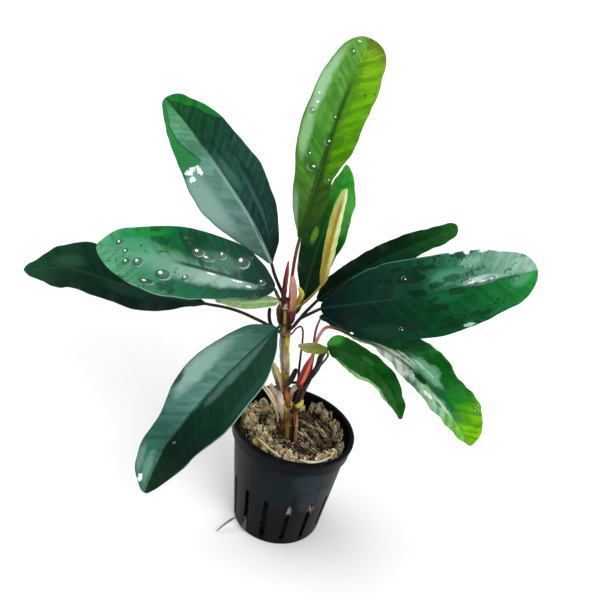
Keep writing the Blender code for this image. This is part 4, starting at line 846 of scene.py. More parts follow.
# %% Stems and what grows on them
STEMS = [
    dict(name="main_stem", slot="green_stem", rows=170, sides=24, rough=0.16,
         points=[(-2.2, 0, 36), (-3.2, 0, 44), (-6, 0, 55), (-8.2, 0, 63), (-11.4, 0, 75), (-14, 0, 84), (-15.9, 0, 93),
                 (-17.2, 0, 99.5), (-18.8, 0, 104.5)],
         radii=[1.5, 1.6, 1.6, 1.3, 1.8, 2.0, 2.1, 2.0, 1.7],
         tones=((0.0, (60, 44, 30)), (0.25, (96, 66, 42)), (0.36, (120, 84, 50)), (0.46, (120, 100, 70)),
                (0.52, (176, 160, 124)), (0.66, (186, 170, 140)), (0.72, (120, 96, 70)), (0.78, (36, 20, 18)),
                (0.94, (44, 22, 20)), (1.0, (90, 70, 58))),
         right_tones=((0.0, (90, 70, 30)), (0.28, (176, 156, 60)), (0.36, (150, 120, 44)), (0.46, (196, 172, 48)),
                      (0.55, (222, 206, 56)), (0.7, (206, 186, 44)), (0.75, (90, 60, 24)), (0.8, (54, 18, 20)),
                      (0.94, (84, 24, 28)), (1.0, (80, 40, 34))),
         bands=[(-0.25, 0.26, 0.74, 0.95, (150, 140, 40), 0.95), (0.0, 2.0, 0.955, 0.985, (206, 184, 166), 0.9),
                (-0.4, 0.18, 0.5, 0.7, (108, 80, 52), 0.7), (0.15, 0.1, 0.5, 0.74, (140, 116, 40), 0.6),
                (0.0, 2.0, 0.715, 0.725, (40, 24, 18), 0.7), (0.0, 2.0, 0.6, 0.606, (110, 84, 40), 0.5)],
         extras=[
             # the crown that the upper stalks leave, and the old sheaths on either side of it
             ([(-18.6, 0, 102.5), (-19.2, -0.2, 105), (-19.6, -0.3, 107.2)], [1.5, 1.9, 1.0], 1.0,
              ((0.0, (96, 70, 56)), (0.45, (208, 188, 170)), (0.6, (120, 60, 52)), (1.0, (50, 22, 22)))),
             ([(-17.2, -0.6, 92.5), (-19.2, -0.8, 97), (-20.6, -0.8, 101.5), (-20.4, -0.7, 105)], [0.5, 0.95, 0.95, 0.5], 1.0,
              ((0.0, (34, 20, 18)), (0.6, (58, 32, 24)), (1.0, (120, 90, 72)))),
             ([(-14.6, -0.8, 96.5), (-14.9, -1.3, 100), (-16.0, -1.3, 103.4), (-17.8, -1.0, 105.4)],
              [0.5, 1.3, 1.3, 0.6], 1.0, ((0.0, (48, 16, 18)), (0.5, (92, 26, 32)), (1.0, (120, 50, 46)))),
             # dry papery skin and old root stumps round the foot
             ([(-17.3, -5.0, 68.3), (-14.4, -4.8, 65.7), (-11.0, -4.4, 61.0), (-8.2, -3.6, 56.2)],
              [0.35, 0.55, 0.6, 0.4], 0.6, ((0.0, (236, 230, 196)), (0.6, (214, 196, 160)), (1.0, (160, 130, 110)))),
             ([(-15.1, -3.6, 69.0), (-12.5, -3.4, 64.3), (-9.8, -3.2, 60.1)], [0.8, 1.5, 0.8], 0.4,
              ((0.0, (200, 190, 160)), (0.5, (160, 146, 130)), (1.0, (150, 120, 110)))),
             ([(-12.5, -3.4, 69.0), (-9.9, -3.3, 63.6), (-7.9, -3.1, 57.8), (-6.4, -2.4, 52.5)],
              [0.5, 1.3, 1.0, 0.5], 0.45, ((0.0, (90, 70, 52)), (0.35, (222, 210, 190)), (0.7, (204, 190, 182)),
                                           (1.0, (120, 90, 70)))),
             ([(-9.6, -1.6, 68.5), (-8.0, -2.2, 65.6), (-6.4, -2.2, 61.9), (-5.6, -1.6, 58.5)],
              [0.7, 1.1, 1.0, 0.6], 1.0, ((0.0, (90, 50, 24)), (0.4, (178, 104, 42)), (0.7, (160, 84, 32)),
                                          (1.0, (110, 70, 34)))),
             ([(-7.8, -1.2, 60.8), (-6.6, -1.6, 58.0), (-5.6, -1.4, 54.5)], [0.5, 1.0, 0.6], 1.0,
              ((0.0, (150, 140, 50)), (0.5, (176, 166, 56)), (1.0, (110, 90, 40)))),
             ([(-1.5, -4.4, 60.4), (-3.5, -3.9, 55.7), (-5.2, -3.0, 50.1), (-5.6, -2.2, 46.5)],
              [0.4, 0.55, 0.55, 0.5], 1.0, ((0.0, (150, 70, 50)), (0.4, (128, 56, 42)), (0.7, (150, 96, 60)),
                                            (1.0, (70, 40, 30)))),
             ([(-6.2, -1.4, 55.5), (-5.9, -1.7, 50.5), (-5.4, -1.7, 46.0)], [0.5, 0.75, 0.7], 1.0,
              ((0.0, (130, 84, 50)), (1.0, (84, 52, 34)))),
             ([(-4.6, -1.6, 71.4), (-5.6, -1.9, 69.4), (-6.0, -1.7, 65.7), (-5.2, -1.2, 62.5)],
              [0.45, 1.1, 0.9, 0.5], 0.6, ((0.0, (240, 200, 196)), (0.35, (226, 200, 176)), (1.0, (150, 96, 70)))),
             ([(-10.2, -1.5, 73.5), (-11.6, -1.9, 78.5), (-13.0, -1.9, 83.0), (-13.6, -1.6, 87.0)],
              [0.5, 1.0, 1.1, 0.5], 0.5, ((0.0, (130, 110, 60)), (0.5, (196, 184, 150)), (1.0, (150, 128, 90)))),
         ]),
    dict(name="side_stem", slot="dark_stem", rows=90, sides=16, rough=0.12,
         points=[(2.2, -0.5, 36), (0, -1, 47.5), (-2.3, -2, 57), (-2.7, -3, 64), (-2.3, -4.5, 71.5), (-1.5, -6, 78)],
         radii=[1.2, 1.25, 1.2, 1.45, 1.35, 1.15],
         tones=((0.0, (50, 30, 20)), (0.3, (62, 34, 24)), (0.42, (90, 46, 30)), (0.5, (84, 60, 30)), (0.58, (30, 17, 24)),
                (1.0, (34, 20, 18))),
         right_tones=((0.0, (120, 80, 44)), (0.3, (196, 140, 84)), (0.4, (170, 112, 66)), (0.5, (70, 44, 28)),
                      (0.62, (76, 56, 34)), (1.0, (92, 66, 42))),
         extras=[
             ([(-3.6, -3.6, 62.6), (-2.4, -4.2, 62.8), (-1.4, -4.2, 64.6), (-1.0, -4.2, 66.6)], [0.5, 1.05, 0.95, 0.4], 0.8,
              ((0.0, (120, 116, 30)), (0.4, (190, 192, 44)), (0.7, (226, 224, 90)), (1.0, (190, 180, 90)))),
             ([(0.6, -2.6, 47.0), (-0.2, -3.0, 53.0), (-1.4, -3.2, 57.8)], [0.55, 0.6, 0.4], 1.0,
              ((0.0, (150, 104, 64)), (0.5, (212, 168, 116)), (1.0, (170, 110, 70)))),
         ]),
    dict(name="crown_sheath", slot="brown_sheath", flatten=0.8,
         points=[(-17.2, -0.9, 101.5), (-15.8, -2.1, 104), (-16.4, -2.1, 108), (-17.7, -1.8, 113), (-19.2, -1.2, 117.5)],
         radii=[0.8, 1.2, 1.35, 1.35, 0.6],
         tones=((0.0, (90, 40, 34)), (0.35, (190, 120, 104)), (0.6, (226, 150, 138)), (1.0, (232, 150, 144))),
         right_tones=((0.0, (96, 60, 36)), (0.4, (160, 112, 74)), (1.0, (196, 150, 110)))),
    dict(name="crown_spear", slot="red_shoot",
         points=[(-19.2, -0.9, 103), (-20, -1.8, 107), (-21, -1.4, 112.5), (-21.8, -0.8, 118), (-22.4, -0.2, 122.5)],
         radii=[0.9, 1.0, 0.95, 0.8, 0.25],
         tones=((0.0, (24, 13, 12)), (0.5, (44, 14, 15)), (0.75, (110, 26, 26)), (1.0, (150, 36, 38))),
         right_tones=((0.0, (24, 10, 10)), (0.4, (84, 20, 22)), (1.0, (190, 70, 66)))),
    dict(name="curled_scale", slot="young_leaf", flatten=0.6,
         points=[(-16.4, 0.7, 102), (-15.0, 1.2, 104.2), (-14.2, 1.8, 106.7), (-14.2, 1.2, 110), (-15.8, 0.6, 112.5)],
         radii=[0.5, 0.8, 1.0, 1.0, 0.5],
         tones=((0.0, (110, 84, 24)), (0.45, (150, 124, 30)), (0.7, (206, 190, 50)), (1.0, (222, 214, 90)))),
    dict(name="cut_stalk_left", slot="dark_stem",
         points=[(-15.6, 0.5, 90), (-18.0, 1.7, 90), (-21.5, 2.4, 91.2), (-23.3, 2.2, 94.5), (-24.2, 2.0, 99)],
         radii=[0.5, 0.6, 0.7, 0.75, 0.7], tones=((0.0, (40, 24, 18)), (1.0, (24, 14, 12)))),
    dict(name="brown_sheath", slot="brown_sheath", flatten=0.6, rough=0.3,
         points=[(-9.4, -1.6, 64.5), (-10.4, -2.9, 67), (-12.3, -3.8, 71.5), (-15.0, -4.4, 76.5), (-16.6, -4.8, 80)],
         radii=[0.6, 1.2, 1.65, 1.5, 0.5],
         tones=((0.0, (60, 36, 26)), (0.3, (70, 44, 30)), (0.5, (90, 64, 44)), (0.7, (170, 156, 112)), (1.0, (120, 130, 80))),
         right_tones=((0.0, (90, 54, 40)), (0.35, (110, 80, 50)), (0.6, (180, 160, 84)), (1.0, (206, 196, 110))),
         bands=[(0.3, 0.2, 0.2, 0.8, (206, 190, 150), 0.7)]),
    dict(name="stem_stub", slot="dark_stem",
         points=[(-9.3, -1.3, 68), (-8.6, -2.7, 71), (-7.9, -3.2, 74), (-7.2, -3.2, 79.2)], radii=[0.8, 1.1, 1.15, 0.95],
         tones=((0.0, (104, 78, 52)), (0.4, (84, 52, 34)), (0.62, (44, 24, 20)), (1.0, (20, 12, 12))),
         right_tones=((0.0, (100, 76, 50)), (0.5, (60, 40, 30)), (1.0, (18, 10, 12)))),
    dict(name="red_spear", slot="red_shoot",
         points=[(-3.2, -6.2, 73.5), (-4.3, -8.2, 75.8), (-4.0, -9.0, 81.5), (-3.6, -9.8, 87.5), (-3.2, -10.6, 93)],
         radii=[0.9, 1.35, 1.6, 1.3, 0.3],
         tones=((0.0, (40, 20, 20)), (0.25, (84, 24, 26)), (0.5, (120, 30, 28)), (0.8, (150, 44, 38)), (1.0, (190, 80, 64))),
         right_tones=((0.0, (50, 24, 22)), (0.25, (110, 34, 34)), (0.6, (160, 44, 36)), (1.0, (200, 90, 70))),
         bands=[(0.05, 0.42, 0.34, 0.92, (228, 92, 70), 0.95), (0.1, 0.15, 0.45, 0.8, (240, 140, 112), 0.7)]),
    dict(name="air_root", slot="dark_stem", rough=0.1,
         points=[(-14.9, 0.3, 90.4), (-13.2, 0.6, 91.5), (-12, 0.8, 94.6), (-10.5, 0.7, 96), (-9.1, 0.6, 93.6), (-7.7, 0.5, 86),
                 (-6.2, 0.2, 77), (-5.2, 0.0, 71), (-7.7, 0.4, 69.6), (-9.6, 0.2, 69.4)],
         radii=[0.4, 0.35, 0.35, 0.35, 0.38, 0.42, 0.5, 0.55, 0.6, 0.5], tones=((0.0, (30, 20, 16)), (1.0, (16, 11, 11)))),
    dict(name="root_dry", slot="root", rough=0.3,
         points=[(-18.3, -8, 70), (-14.2, -6.4, 65), (-10.4, -4.6, 59), (-8.4, -3.4, 53.5), (-7.8, -2.9, 51)],
         radii=[0.25, 0.4, 0.45, 0.45, 0.4], tones=((0.0, (235, 226, 184)), (1.0, (180, 150, 110)))),
    dict(name="root_left", slot="root", rough=0.3, in_pot=True,
         points=[(-13.2, -12.4, 49.6), (-9.6, -15.8, 49.6), (-6, -18.9, 49.5), (-2.6, -20.8, 49.2)],
         radii=[0.3, 0.45, 0.45, 0.3], tones=((0.0, (226, 214, 90)), (0.35, (224, 214, 150)), (1.0, (236, 226, 190)))),
    dict(name="root_front", slot="root", rough=0.3, in_pot=True,
         points=[(4.8, -20.6, 49.2), (9, -21.2, 49.3), (12.6, -19.9, 49.3), (17, -15.6, 49.2)],
         radii=[0.3, 0.5, 0.5, 0.3], tones=((0.0, (236, 232, 212)), (1.0, (222, 212, 180)))),
    dict(name="root_outside", slot="root", rough=0.3, in_pot=True,
         points=[(-16.6, -11.4, 4.4), (-18.4, -12.6, 3.6), (-20.7, -14.8, 2.6), (-23.4, -17.8, 0.8)],
         radii=[0.4, 0.45, 0.35, 0.25], tones=((0.0, (170, 116, 50)), (0.4, (120, 104, 84)), (1.0, (120, 116, 108)))),
]

for stem in STEMS:
    turn = list if stem.get("in_pot") else leaned
    finish = stem_finish(stem["name"] + "_finish", stem["tones"], stem.get("right_tones"), stem.get("bands", ()))
    pieces = [add_stem("grown_" + stem["name"], turn(stem["points"]), stem["radii"], finish, stem.get("rows", 48),
                       stem.get("sides", 12), stem.get("rough", 0.12), stem.get("flatten", 1.0))]
    for number, (points, radii, flatten, tones) in enumerate(stem.get("extras", ())):
        name = f"{stem['name']}_skin_{number}"
        pieces.append(add_stem(name, turn(points), radii, stem_finish(name, tones), 36, 12, 0.35, flatten))
    place(joined("grown_" + stem["name"], *pieces[::-1]), stem["name"])

# %% [markdown]
# ## The net pot
# A thin pot like this is moulded in one piece. It is drawn here as a moulder would: a ring of points at the base
# is extruded and widened up the outside, over the rim and down the inside to the floor. Blocks then cut the slots
# in its wall and floor, and a small bevel softens every edge that the cuts leave.

# %% The pot's wall
POT_POINTS = 112
BASE_RADIUS, WALL_TOP_RADIUS, COLLAR_RADIUS, RIM_RADIUS, RIM_INNER_RADIUS = 18.5, 23.0, 24.1, 25.0, 23.4
COLLAR_BOTTOM, WALL, FLOOR = 42.5, 1.2, 1.6
SQUEEZE = Matrix.Rotation(math.radians(-36.0), 3, "Z")
SQUEEZE_RATIO = 1.15
POT_PROFILE = [
    (BASE_RADIUS - 0.6, 0.0), (BASE_RADIUS - 0.2, 0.15), (BASE_RADIUS, 0.6), (WALL_TOP_RADIUS, COLLAR_BOTTOM),
    (COLLAR_RADIUS - 0.15, COLLAR_BOTTOM + 0.25), (COLLAR_RADIUS, COLLAR_BOTTOM + 0.6), (COLLAR_RADIUS + 0.2, 48.0),
    (RIM_RADIUS, 48.4), (RIM_RADIUS, 49.6), (RIM_RADIUS - 0.12, 49.88), (RIM_RADIUS - 0.4, POT_HEIGHT),
    (RIM_INNER_RADIUS + 0.25, POT_HEIGHT), (RIM_INNER_RADIUS, 49.8), (COLLAR_RADIUS - WALL, COLLAR_BOTTOM + 0.6),
    (WALL_TOP_RADIUS - WALL, COLLAR_BOTTOM - 0.6), (BASE_RADIUS - WALL, FLOOR + 0.4), (BASE_RADIUS - WALL - 0.4, FLOOR),
]


def squeezed(point):
    """Where the oval pot has a point of the round one."""
    ratio = 1.0 + (SQUEEZE_RATIO - 1.0) * max(0.0, point.z) / POT_HEIGHT
    along = SQUEEZE.inverted() @ point
    return SQUEEZE @ Vector((along.x * math.sqrt(ratio), along.y / math.sqrt(ratio), along.z))


def extrude_ring(radius, height, last_radius, last_height):
    bpy.ops.mesh.extrude_region_move(TRANSFORM_OT_translate={"value": (0, 0, (height - last_height) * MM)})
    bpy.ops.transform.resize(value=(radius / last_radius, radius / last_radius, 1.0))


bpy.ops.object.select_all(action="DESELECT")
bpy.ops.mesh.primitive_circle_add(vertices=POT_POINTS, radius=POT_PROFILE[0][0] * MM)
pot = bpy.context.object
bpy.ops.object.mode_set(mode="EDIT")
for (last_radius, last_height), (radius, height) in zip(POT_PROFILE, POT_PROFILE[1:]):
    extrude_ring(radius, height, last_radius, last_height)
bpy.ops.mesh.edge_face_add()
bpy.ops.mesh.select_all(action="SELECT")
bpy.ops.mesh.select_non_manifold()
bpy.ops.object.mode_set(mode="OBJECT")
for edge in pot.data.edges:
    edge.select = all(pot.data.vertices[i].co.z < 0.01 * MM for i in edge.vertices)
bpy.ops.object.mode_set(mode="EDIT")
bpy.ops.mesh.edge_face_add()
bpy.ops.mesh.select_all(action="SELECT")
turn_faces_out()
bpy.ops.object.mode_set(mode="OBJECT")
print("pot wall:", len(pot.data.polygons), "faces")

# %% Slots, bevel and squeeze
WALL_SLOTS, WALL_SLOT_FIRST, WALL_SLOT_WIDTH, WALL_SLOT_HEIGHTS = 14, 0.9, 1.8, (3.5, 24.0)
FLOOR_SLOTS, FLOOR_SLOT_WIDTH, FLOOR_SLOT_RADII = 8, 2.2, (6.5, 14.5)


def add_block(angle, near, far, width, bottom, top):
    """A block that points outwards from the pot's axis."""
    middle = Vector(((near + far) / 2 * math.cos(angle), (near + far) / 2 * math.sin(angle), (bottom + top) / 2))
    bpy.ops.mesh.primitive_cube_add(size=1.0, location=middle * MM, rotation=(0, 0, angle),
                                    scale=((far - near) * MM, width * MM, (top - bottom) * MM))
    return bpy.context.object


blocks = [add_block(2 * math.pi * (i + WALL_SLOT_FIRST) / WALL_SLOTS, 14, 24, WALL_SLOT_WIDTH, *WALL_SLOT_HEIGHTS)
          for i in range(WALL_SLOTS)]
blocks += [add_block(2 * math.pi * (i + 0.5) / FLOOR_SLOTS, *FLOOR_SLOT_RADII, FLOOR_SLOT_WIDTH, -1.0, 2.4)
           for i in range(FLOOR_SLOTS)]
cutter = joined("slot_blocks", *blocks)
cut = pot.modifiers.new("slots", "BOOLEAN")
cut.object, cut.operation, cut.solver = cutter, "DIFFERENCE", "EXACT"
edges = pot.modifiers.new("edges", "BEVEL")
edges.width, edges.segments, edges.limit_method, edges.angle_limit = 0.14 * MM, 2, "ANGLE", math.radians(50)
apply_modifiers(pot)
bpy.data.objects.remove(cutter)
for vertex in pot.data.vertices:
    vertex.co = squeezed(vertex.co / MM) * MM
pot.name = pot.data.name = "net_pot"
print("slots cut:", WALL_SLOTS + FLOOR_SLOTS)

# %% [markdown]
# ## Black moulded plastic
# The plastic is nearly black, satin and finely grained, with painted bluish and lavender reflections on its front where
# it catches light. Use leaves faint scuffs and the wool leaves a little dry dust on the rim.

# %% The pot's finish
plastic, start = new_finish("black_plastic", Specular_IOR_Level=0.035)
spot_on = start.node("ShaderNodeTexCoord", None, None, out="Object")
_, _, height_on = spot_on.parts()
grain, cloud, scuff = spot_on.grain(3500.0, 2.0), spot_on.grain(90.0, 4.0), spot_on.grain(700.0, 5.0, 0.7)
colour = cloud.rise(0.3, 0.7).mix(tone(6, 7, 9), tone(12, 16, 20))
dust = scuff.rise(0.58, 0.72) * (height_on * (1 / MM)).rise(40.0, 50.0) * 0.35
colour = dust.mix(colour, tone(120, 112, 95))
# Painted reflections on the front of the pot, bluish and lavender: x tells their place across, and z their height
x_on = spot_on.parts()[0] * (1 / MM)
painted_reflection_patches = ((10.0, 38.0, 8.0, 7.0, (38, 58, 60), 0.5), (13.0, 28.0, 6.0, 8.0, (56, 64, 76), 0.4),
                (-2.0, 30.0, 9.0, 12.0, (16, 30, 36), 0.7))
for at_x, at_z, half_x, half_z, shade, strength in painted_reflection_patches:
    mask = (spot(x_on, height_on * (1 / MM), at_x, at_z, half_x, half_z) + (cloud - 0.5) * 3.0).rise(1.3, 0.0)
    colour = (mask * spot_on.parts()[1].rise(-0.004, -0.012) * strength).mix(colour, tone(*shade))
connect(plastic, Base_Color=colour, Roughness=0.26 + cloud * 0.14 + dust * 0.6 + scuff * 0.08,
        Normal=bump(grain * 0.25 + cloud * 0.75, 0.12))
pot.data.materials.clear()
pot.data.materials.append(plastic)
place(pot, "pot", 32.0)

# %% [markdown]
# ## Damp wool
# The plant is rooted in a plug of wool: tan lumps on rolls with dark ground between them, covered in short fibres that
# lie every way, and combed down to the right where it was pressed in. The gaps between the lumps are darkened with
# painted shade. The plug is a disc with a lumpy top, pushed down into the pot.

# %% The plug's body
PLUG_TOP = 47.0
PLUG_LOW = 42.4
PLUG_RADIUS = 22.0
# Rolls of wool: the points each one runs through, its half-width and how high it stands
ROLLS = [
    ([(-19.5, 8.0), (-17.0, 2.0), (-13.0, -5.0), (-8.0, -11.5), (-2.0, -15.0)], 3.9, 6.4),
    ([(1.5, -16.5), (8.0, -17.5), (14.5, -14.8), (18.0, -10.0)], 4.2, 6.0),
    ([(5.0, 21.0), (12.0, 17.0), (17.2, 10.0), (20.6, 1.0), (20.8, -5.0)], 1.3, 6.2),
    ([(-17.0, 12.0), (-9.0, 17.5), (1.0, 20.0)], 2.8, 5.0),
    ([(-10.5, 8.0), (-8.5, 3.0)], 1.6, 3.6),
]


def roll_share(x, y):
    """How far a place is up on a roll of wool, from 0 to 1, and the height that the roll gives it."""
    here, best, height = Vector((x, y)), 0.0, 0.0
    wander = Vector((noise.noise(Vector((x * 0.3, y * 0.3, 5.0))), noise.noise(Vector((x * 0.3, y * 0.3, 9.0))))) * 2.2
    for line, half_width, rise in ROLLS:
        for a, b in zip(line, line[1:]):
            a, b = Vector(a), Vector(b)
            share = max(0.0, min(1.0, (here + wander - a).dot(b - a) / (b - a).length_squared))
            away = (here + wander - a.lerp(b, share)).length / half_width
            crown = max(0.0, 1 - away**2) ** 0.5 * min(1.0, 0.85 + 0.8 * noise.noise(Vector((x * 0.4, y * 0.4, 2.0))))
            height = max(height, rise * crown)
            best = max(best, min(1.0, crown * 1.6))
    return best, height


def gap_at(x, y):
    """0 on a lump of wool and 1 in a gap between lumps."""
    return max(0.0, min(1.0, noise.voronoi(Vector((x, y, 0.0)) * 0.5)[0][0] * 3.2 - 1.5))


def wool_height(x, y):
    """The height of the plug's top: rolls, then lumps of every size."""
    share, height = roll_share(x, y)
    here = Vector((x, y, 0.0))
    cells = noise.voronoi(here * 0.62)[0]
    lumps = (0.4 + 0.9 * share) * (0.6 - cells[0]) * 1.8 + 1.1 * noise.fractal(here * 0.8, 0.7, 2.1, 5)
    return min(PLUG_LOW + height + lumps * 0.75 - gap_at(x, y) * share * 0.8, POT_HEIGHT - 0.5)


def plug_outline(x, y, height, radius=PLUG_RADIUS):
    """Moves a point of the unit disc out to the plug's uneven edge."""
    reach = radius + 0.5 * noise.noise(Vector((x * 4, y * 4, 1.0)))
    return squeezed(Vector((x * reach, y * reach, height)))


plug = add_grid("wool_body", 170, 170)
woolly = plug.data.attributes.new("woolly", "FLOAT", "POINT")
for vertex in plug.data.vertices:
    x, y = vertex.co.x, vertex.co.y
    flat = plug_outline(x * math.sqrt(1 - y * y / 2), y * math.sqrt(1 - x * x / 2), PLUG_TOP)
    edge_drop = 2.0 * max(abs(x), abs(y)) ** 16
    vertex.co = Vector((flat.x, flat.y, wool_height(flat.x, flat.y) - edge_drop)) * MM
    # Pale on a roll and low between rolls, lowered further in the gaps between lumps as painted shade
    woolly.data[vertex.index].value = roll_share(flat.x, flat.y)[0] - gap_at(flat.x, flat.y) * 0.7
choose(plug)
bpy.ops.object.mode_set(mode="EDIT")
bpy.ops.mesh.select_all(action="DESELECT")
bpy.ops.mesh.select_non_manifold()
for height, radius in ((40.0, 20.4), (28.0, 19.2), (14.0, 17.9), (2.2, 16.4)):
    bpy.ops.mesh.extrude_region_move()
    bpy.ops.object.mode_set(mode="OBJECT")
    for vertex in plug.data.vertices:
        if vertex.select:
            turn = math.atan2(vertex.co.y, vertex.co.x)
            vertex.co = squeezed(Vector((radius * math.cos(turn), radius * math.sin(turn), height))) * MM
    bpy.ops.object.mode_set(mode="EDIT")
bpy.ops.mesh.edge_face_add()
bpy.ops.mesh.select_all(action="SELECT")
turn_faces_out()
bpy.ops.object.mode_set(mode="OBJECT")
print("plug's underside at", round(min(vertex.co.z for vertex in plug.data.vertices) / MM, 1), "mm")

# %% [markdown]
# ### Fibres and crumbs
# Thousands of fibres would be slow as curves. One short three-sided strand is bent many ways in code instead and all
# copies go into one mesh. Crumbs are small uneven balls with twenty faces each. Every strand and crumb keeps a tint of
# its own from 0, dark, to 1, cream, darkened in the gaps between lumps as painted shade.

# %% Strands and crumbs
STRAND_RINGS = 7
COMBED = Vector((0.62, -0.78, 0.0))


def add_bundle(name, strands):
    """One mesh of many strands, each a (points, radius, tint)."""
    vertices, faces, tints = [], [], []
    for points, radius, tint in strands:
        first = len(vertices)
        for i, point in enumerate(points):
            ahead = (points[min(i + 1, len(points) - 1)] - points[max(i - 1, 0)]).normalized()
            across = ahead.orthogonal().normalized()
            other = ahead.cross(across)
            here = radius * (1 - 0.75 * abs(2 * i / (len(points) - 1) - 1) ** 3)
            for side in range(3):
                turn = 2 * math.pi * side / 3
                vertices.append((point + (math.cos(turn) * across + math.sin(turn) * other) * here) * MM)
                tints.append(tint)
        for i in range(len(points) - 1):
            for side in range(3):
                a, b = first + 3 * i + side, first + 3 * i + (side + 1) % 3
                faces.append((a, b, b + 3, a + 3))
        faces.append((first + 2, first + 1, first))
        end = first + 3 * (len(points) - 1)
        faces.append((end, end + 1, end + 2))
    mesh = bpy.data.meshes.new(name)
    mesh.from_pydata(vertices, [], faces)
    bundle = bpy.data.objects.new(name, mesh)
    bpy.context.scene.collection.objects.link(bundle)
    mesh.attributes.new("tint", "FLOAT", "POINT").data.foreach_set("value", tints)
    return bundle


def random_on_plug(reach=0.98):
    turn, radius = random.uniform(0, 2 * math.pi), math.sqrt(random.random()) * reach
    return plug_outline(radius * math.cos(turn), radius * math.sin(turn), PLUG_TOP)


def lying_strand():
    """A strand on the plug, with its ends pushed in: short and tangled on a roll, long and combed between rolls."""
    start_at = random_on_plug(0.95)
    share = roll_share(start_at.x, start_at.y)[0]
    while share < 0.3 and random.random() < 0.45:
        start_at = random_on_plug(0.95)
        share = roll_share(start_at.x, start_at.y)[0]
    turn = random.uniform(0, 2 * math.pi)
    way = Vector((math.cos(turn), math.sin(turn), 0.0))
    if share < 0.3 and start_at.x > 2:
        way = (COMBED + way * 0.3).normalized()
    length = random.uniform(1.0, 3.0) if share > 0.3 else random.uniform(2.0, 7.0)
    bend = random.uniform(-0.25, 0.25) if share > 0.3 else random.uniform(-0.08, 0.08)
    arch = random.uniform(0.1, 0.5)
    points, here = [], start_at
    for i in range(STRAND_RINGS):
        lift = arch * math.sin(math.pi * i / (STRAND_RINGS - 1)) - 0.1
        points.append(Vector((here.x, here.y, min(wool_height(here.x, here.y) + lift, POT_HEIGHT - 0.15))))
        way = Matrix.Rotation(bend, 3, "Z") @ way
        here = here + way * (length / (STRAND_RINGS - 1))
        if here.length > 50.6:
            way = Matrix.Rotation(1.2, 3, "Z") @ way
    tint = random.uniform(0.45, 1.0) if share > 0.3 else random.choice((0.0, 0.05, 0.1, 0.3, 0.6, 0.9))
    # The tint is darkened in the gaps between lumps: painted shade.
    return points, random.uniform(0.04, 0.11), tint * (1 - 0.85 * gap_at(start_at.x, start_at.y))


def rope(line, half_width, tints):
    """Combed strands that lie side by side along a line over the dark ground."""
    line = [Vector((*point, 0.0)) for point in line]
    made = []
    for _ in range(ROPE_STRANDS):
        aside = Vector((random.gauss(0, half_width), random.gauss(0, half_width), 0.0)) * 1.7
        first, arch, tint = random.uniform(0.0, 0.5), random.uniform(0.1, 0.9), random.uniform(*tints) * random.choice((0.1, 0.6, 1.0))
        last = min(1.0, first + random.uniform(0.3, 0.6))
        points = []
        for i in range(STRAND_RINGS):
            share = i / (STRAND_RINGS - 1)
            at = smooth_point(line, (len(line) - 1) * (first + (last - first) * share)) + aside * (1 - 0.3 * share)
            lift = arch * math.sin(math.pi * share)
            points.append(Vector((at.x, at.y, min(wool_height(at.x, at.y) + lift, POT_HEIGHT - 0.1))))
        made.append((points, random.uniform(0.05, 0.15), tint))
    return made


# Ropes of strands on the right and left of the stems: a line on the plug, its half-width and its tints
ROPE_STRANDS = 38
ROPES = [
    ([(3.0, 6.0), (7.0, 1.5), (11.5, -5.0)], 0.5, (0.55, 0.95)), ([(5.5, 9.5), (10.5, 4.0), (14.5, -4.0)], 0.45, (0.35, 0.8)),
    ([(8.0, 13.0), (13.5, 6.0), (17.5, -1.5)], 0.4, (0.6, 1.0)), ([(1.5, 12.5), (6.0, 11.0), (10.0, 7.5)], 0.4, (0.45, 0.9)),
    ([(4.0, -1.0), (8.0, -5.0), (12.5, -8.0)], 0.5, (0.3, 0.7)), ([(10.0, 15.0), (15.0, 8.5), (18.8, 1.5)], 0.35, (0.2, 0.6)),
    ([(-8.0, 16.0), (-8.5, 9.5), (-6.5, 2.0)], 0.4, (0.7, 1.0)), ([(-13.5, 8.0), (-11.0, 1.5), (-6.0, -3.0)], 0.5, (0.25, 0.6)),
    ([(6.0, 20.6), (12.5, 16.6), (17.2, 9.8), (20.6, 0.8)], 0.35, (0.7, 1.0)), ([(0.0, 16.0), (5.0, 15.0), (9.5, 11.0)], 0.5, (0.1, 0.5)),
]
strands = [lying_strand() for _ in range(3600)]
for line, half_width, tints in ROPES:
    strands += rope(line, half_width, tints)
fibres = add_bundle("wool_fibres", strands)
print("strands:", len(strands))

CRUMBS = 900
bpy.ops.object.select_all(action="DESELECT")
bpy.ops.mesh.primitive_ico_sphere_add(subdivisions=1, radius=1.0)
crumb = bpy.context.object
corners = [vertex.co.copy() for vertex in crumb.data.vertices]
crumb_faces = [tuple(face.vertices) for face in crumb.data.polygons]
bpy.data.objects.remove(crumb)
vertices, faces, tints = [], [], []
for _ in range(CRUMBS):
    at = random_on_plug(0.97)
    share = roll_share(at.x, at.y)[0]
    size = random.choice((0.2, 0.25, 0.3, 0.4, 0.6)) * random.uniform(0.7, 1.2)
    stretch = Vector((random.uniform(0.7, 1.4), random.uniform(0.6, 1.2), random.uniform(0.7, 1.0)))
    spin = Matrix.Rotation(random.uniform(0, 6.28), 3, "Z") @ Matrix.Rotation(random.uniform(-0.6, 0.6), 3, "X")
    first = len(vertices)
    middle = Vector((at.x * 0.97, at.y * 0.97, min(wool_height(at.x, at.y), POT_HEIGHT - 1.2)))
    # The tint is darkened in the gaps between lumps: painted shade.
    tint = (random.uniform(0.5, 1.0) if share > 0.3 else random.uniform(0.0, 0.35)) * (1 - 0.85 * gap_at(at.x, at.y))
    for corner in corners:
        rough = 1 + 0.35 * noise.noise(corner * 1.7 + middle)
        vertices.append((middle + spin @ Vector([c * s for c, s in zip(corner, stretch)]) * size * rough) * MM)
        tints.append(tint)
    faces += [tuple(first + i for i in face) for face in crumb_faces]
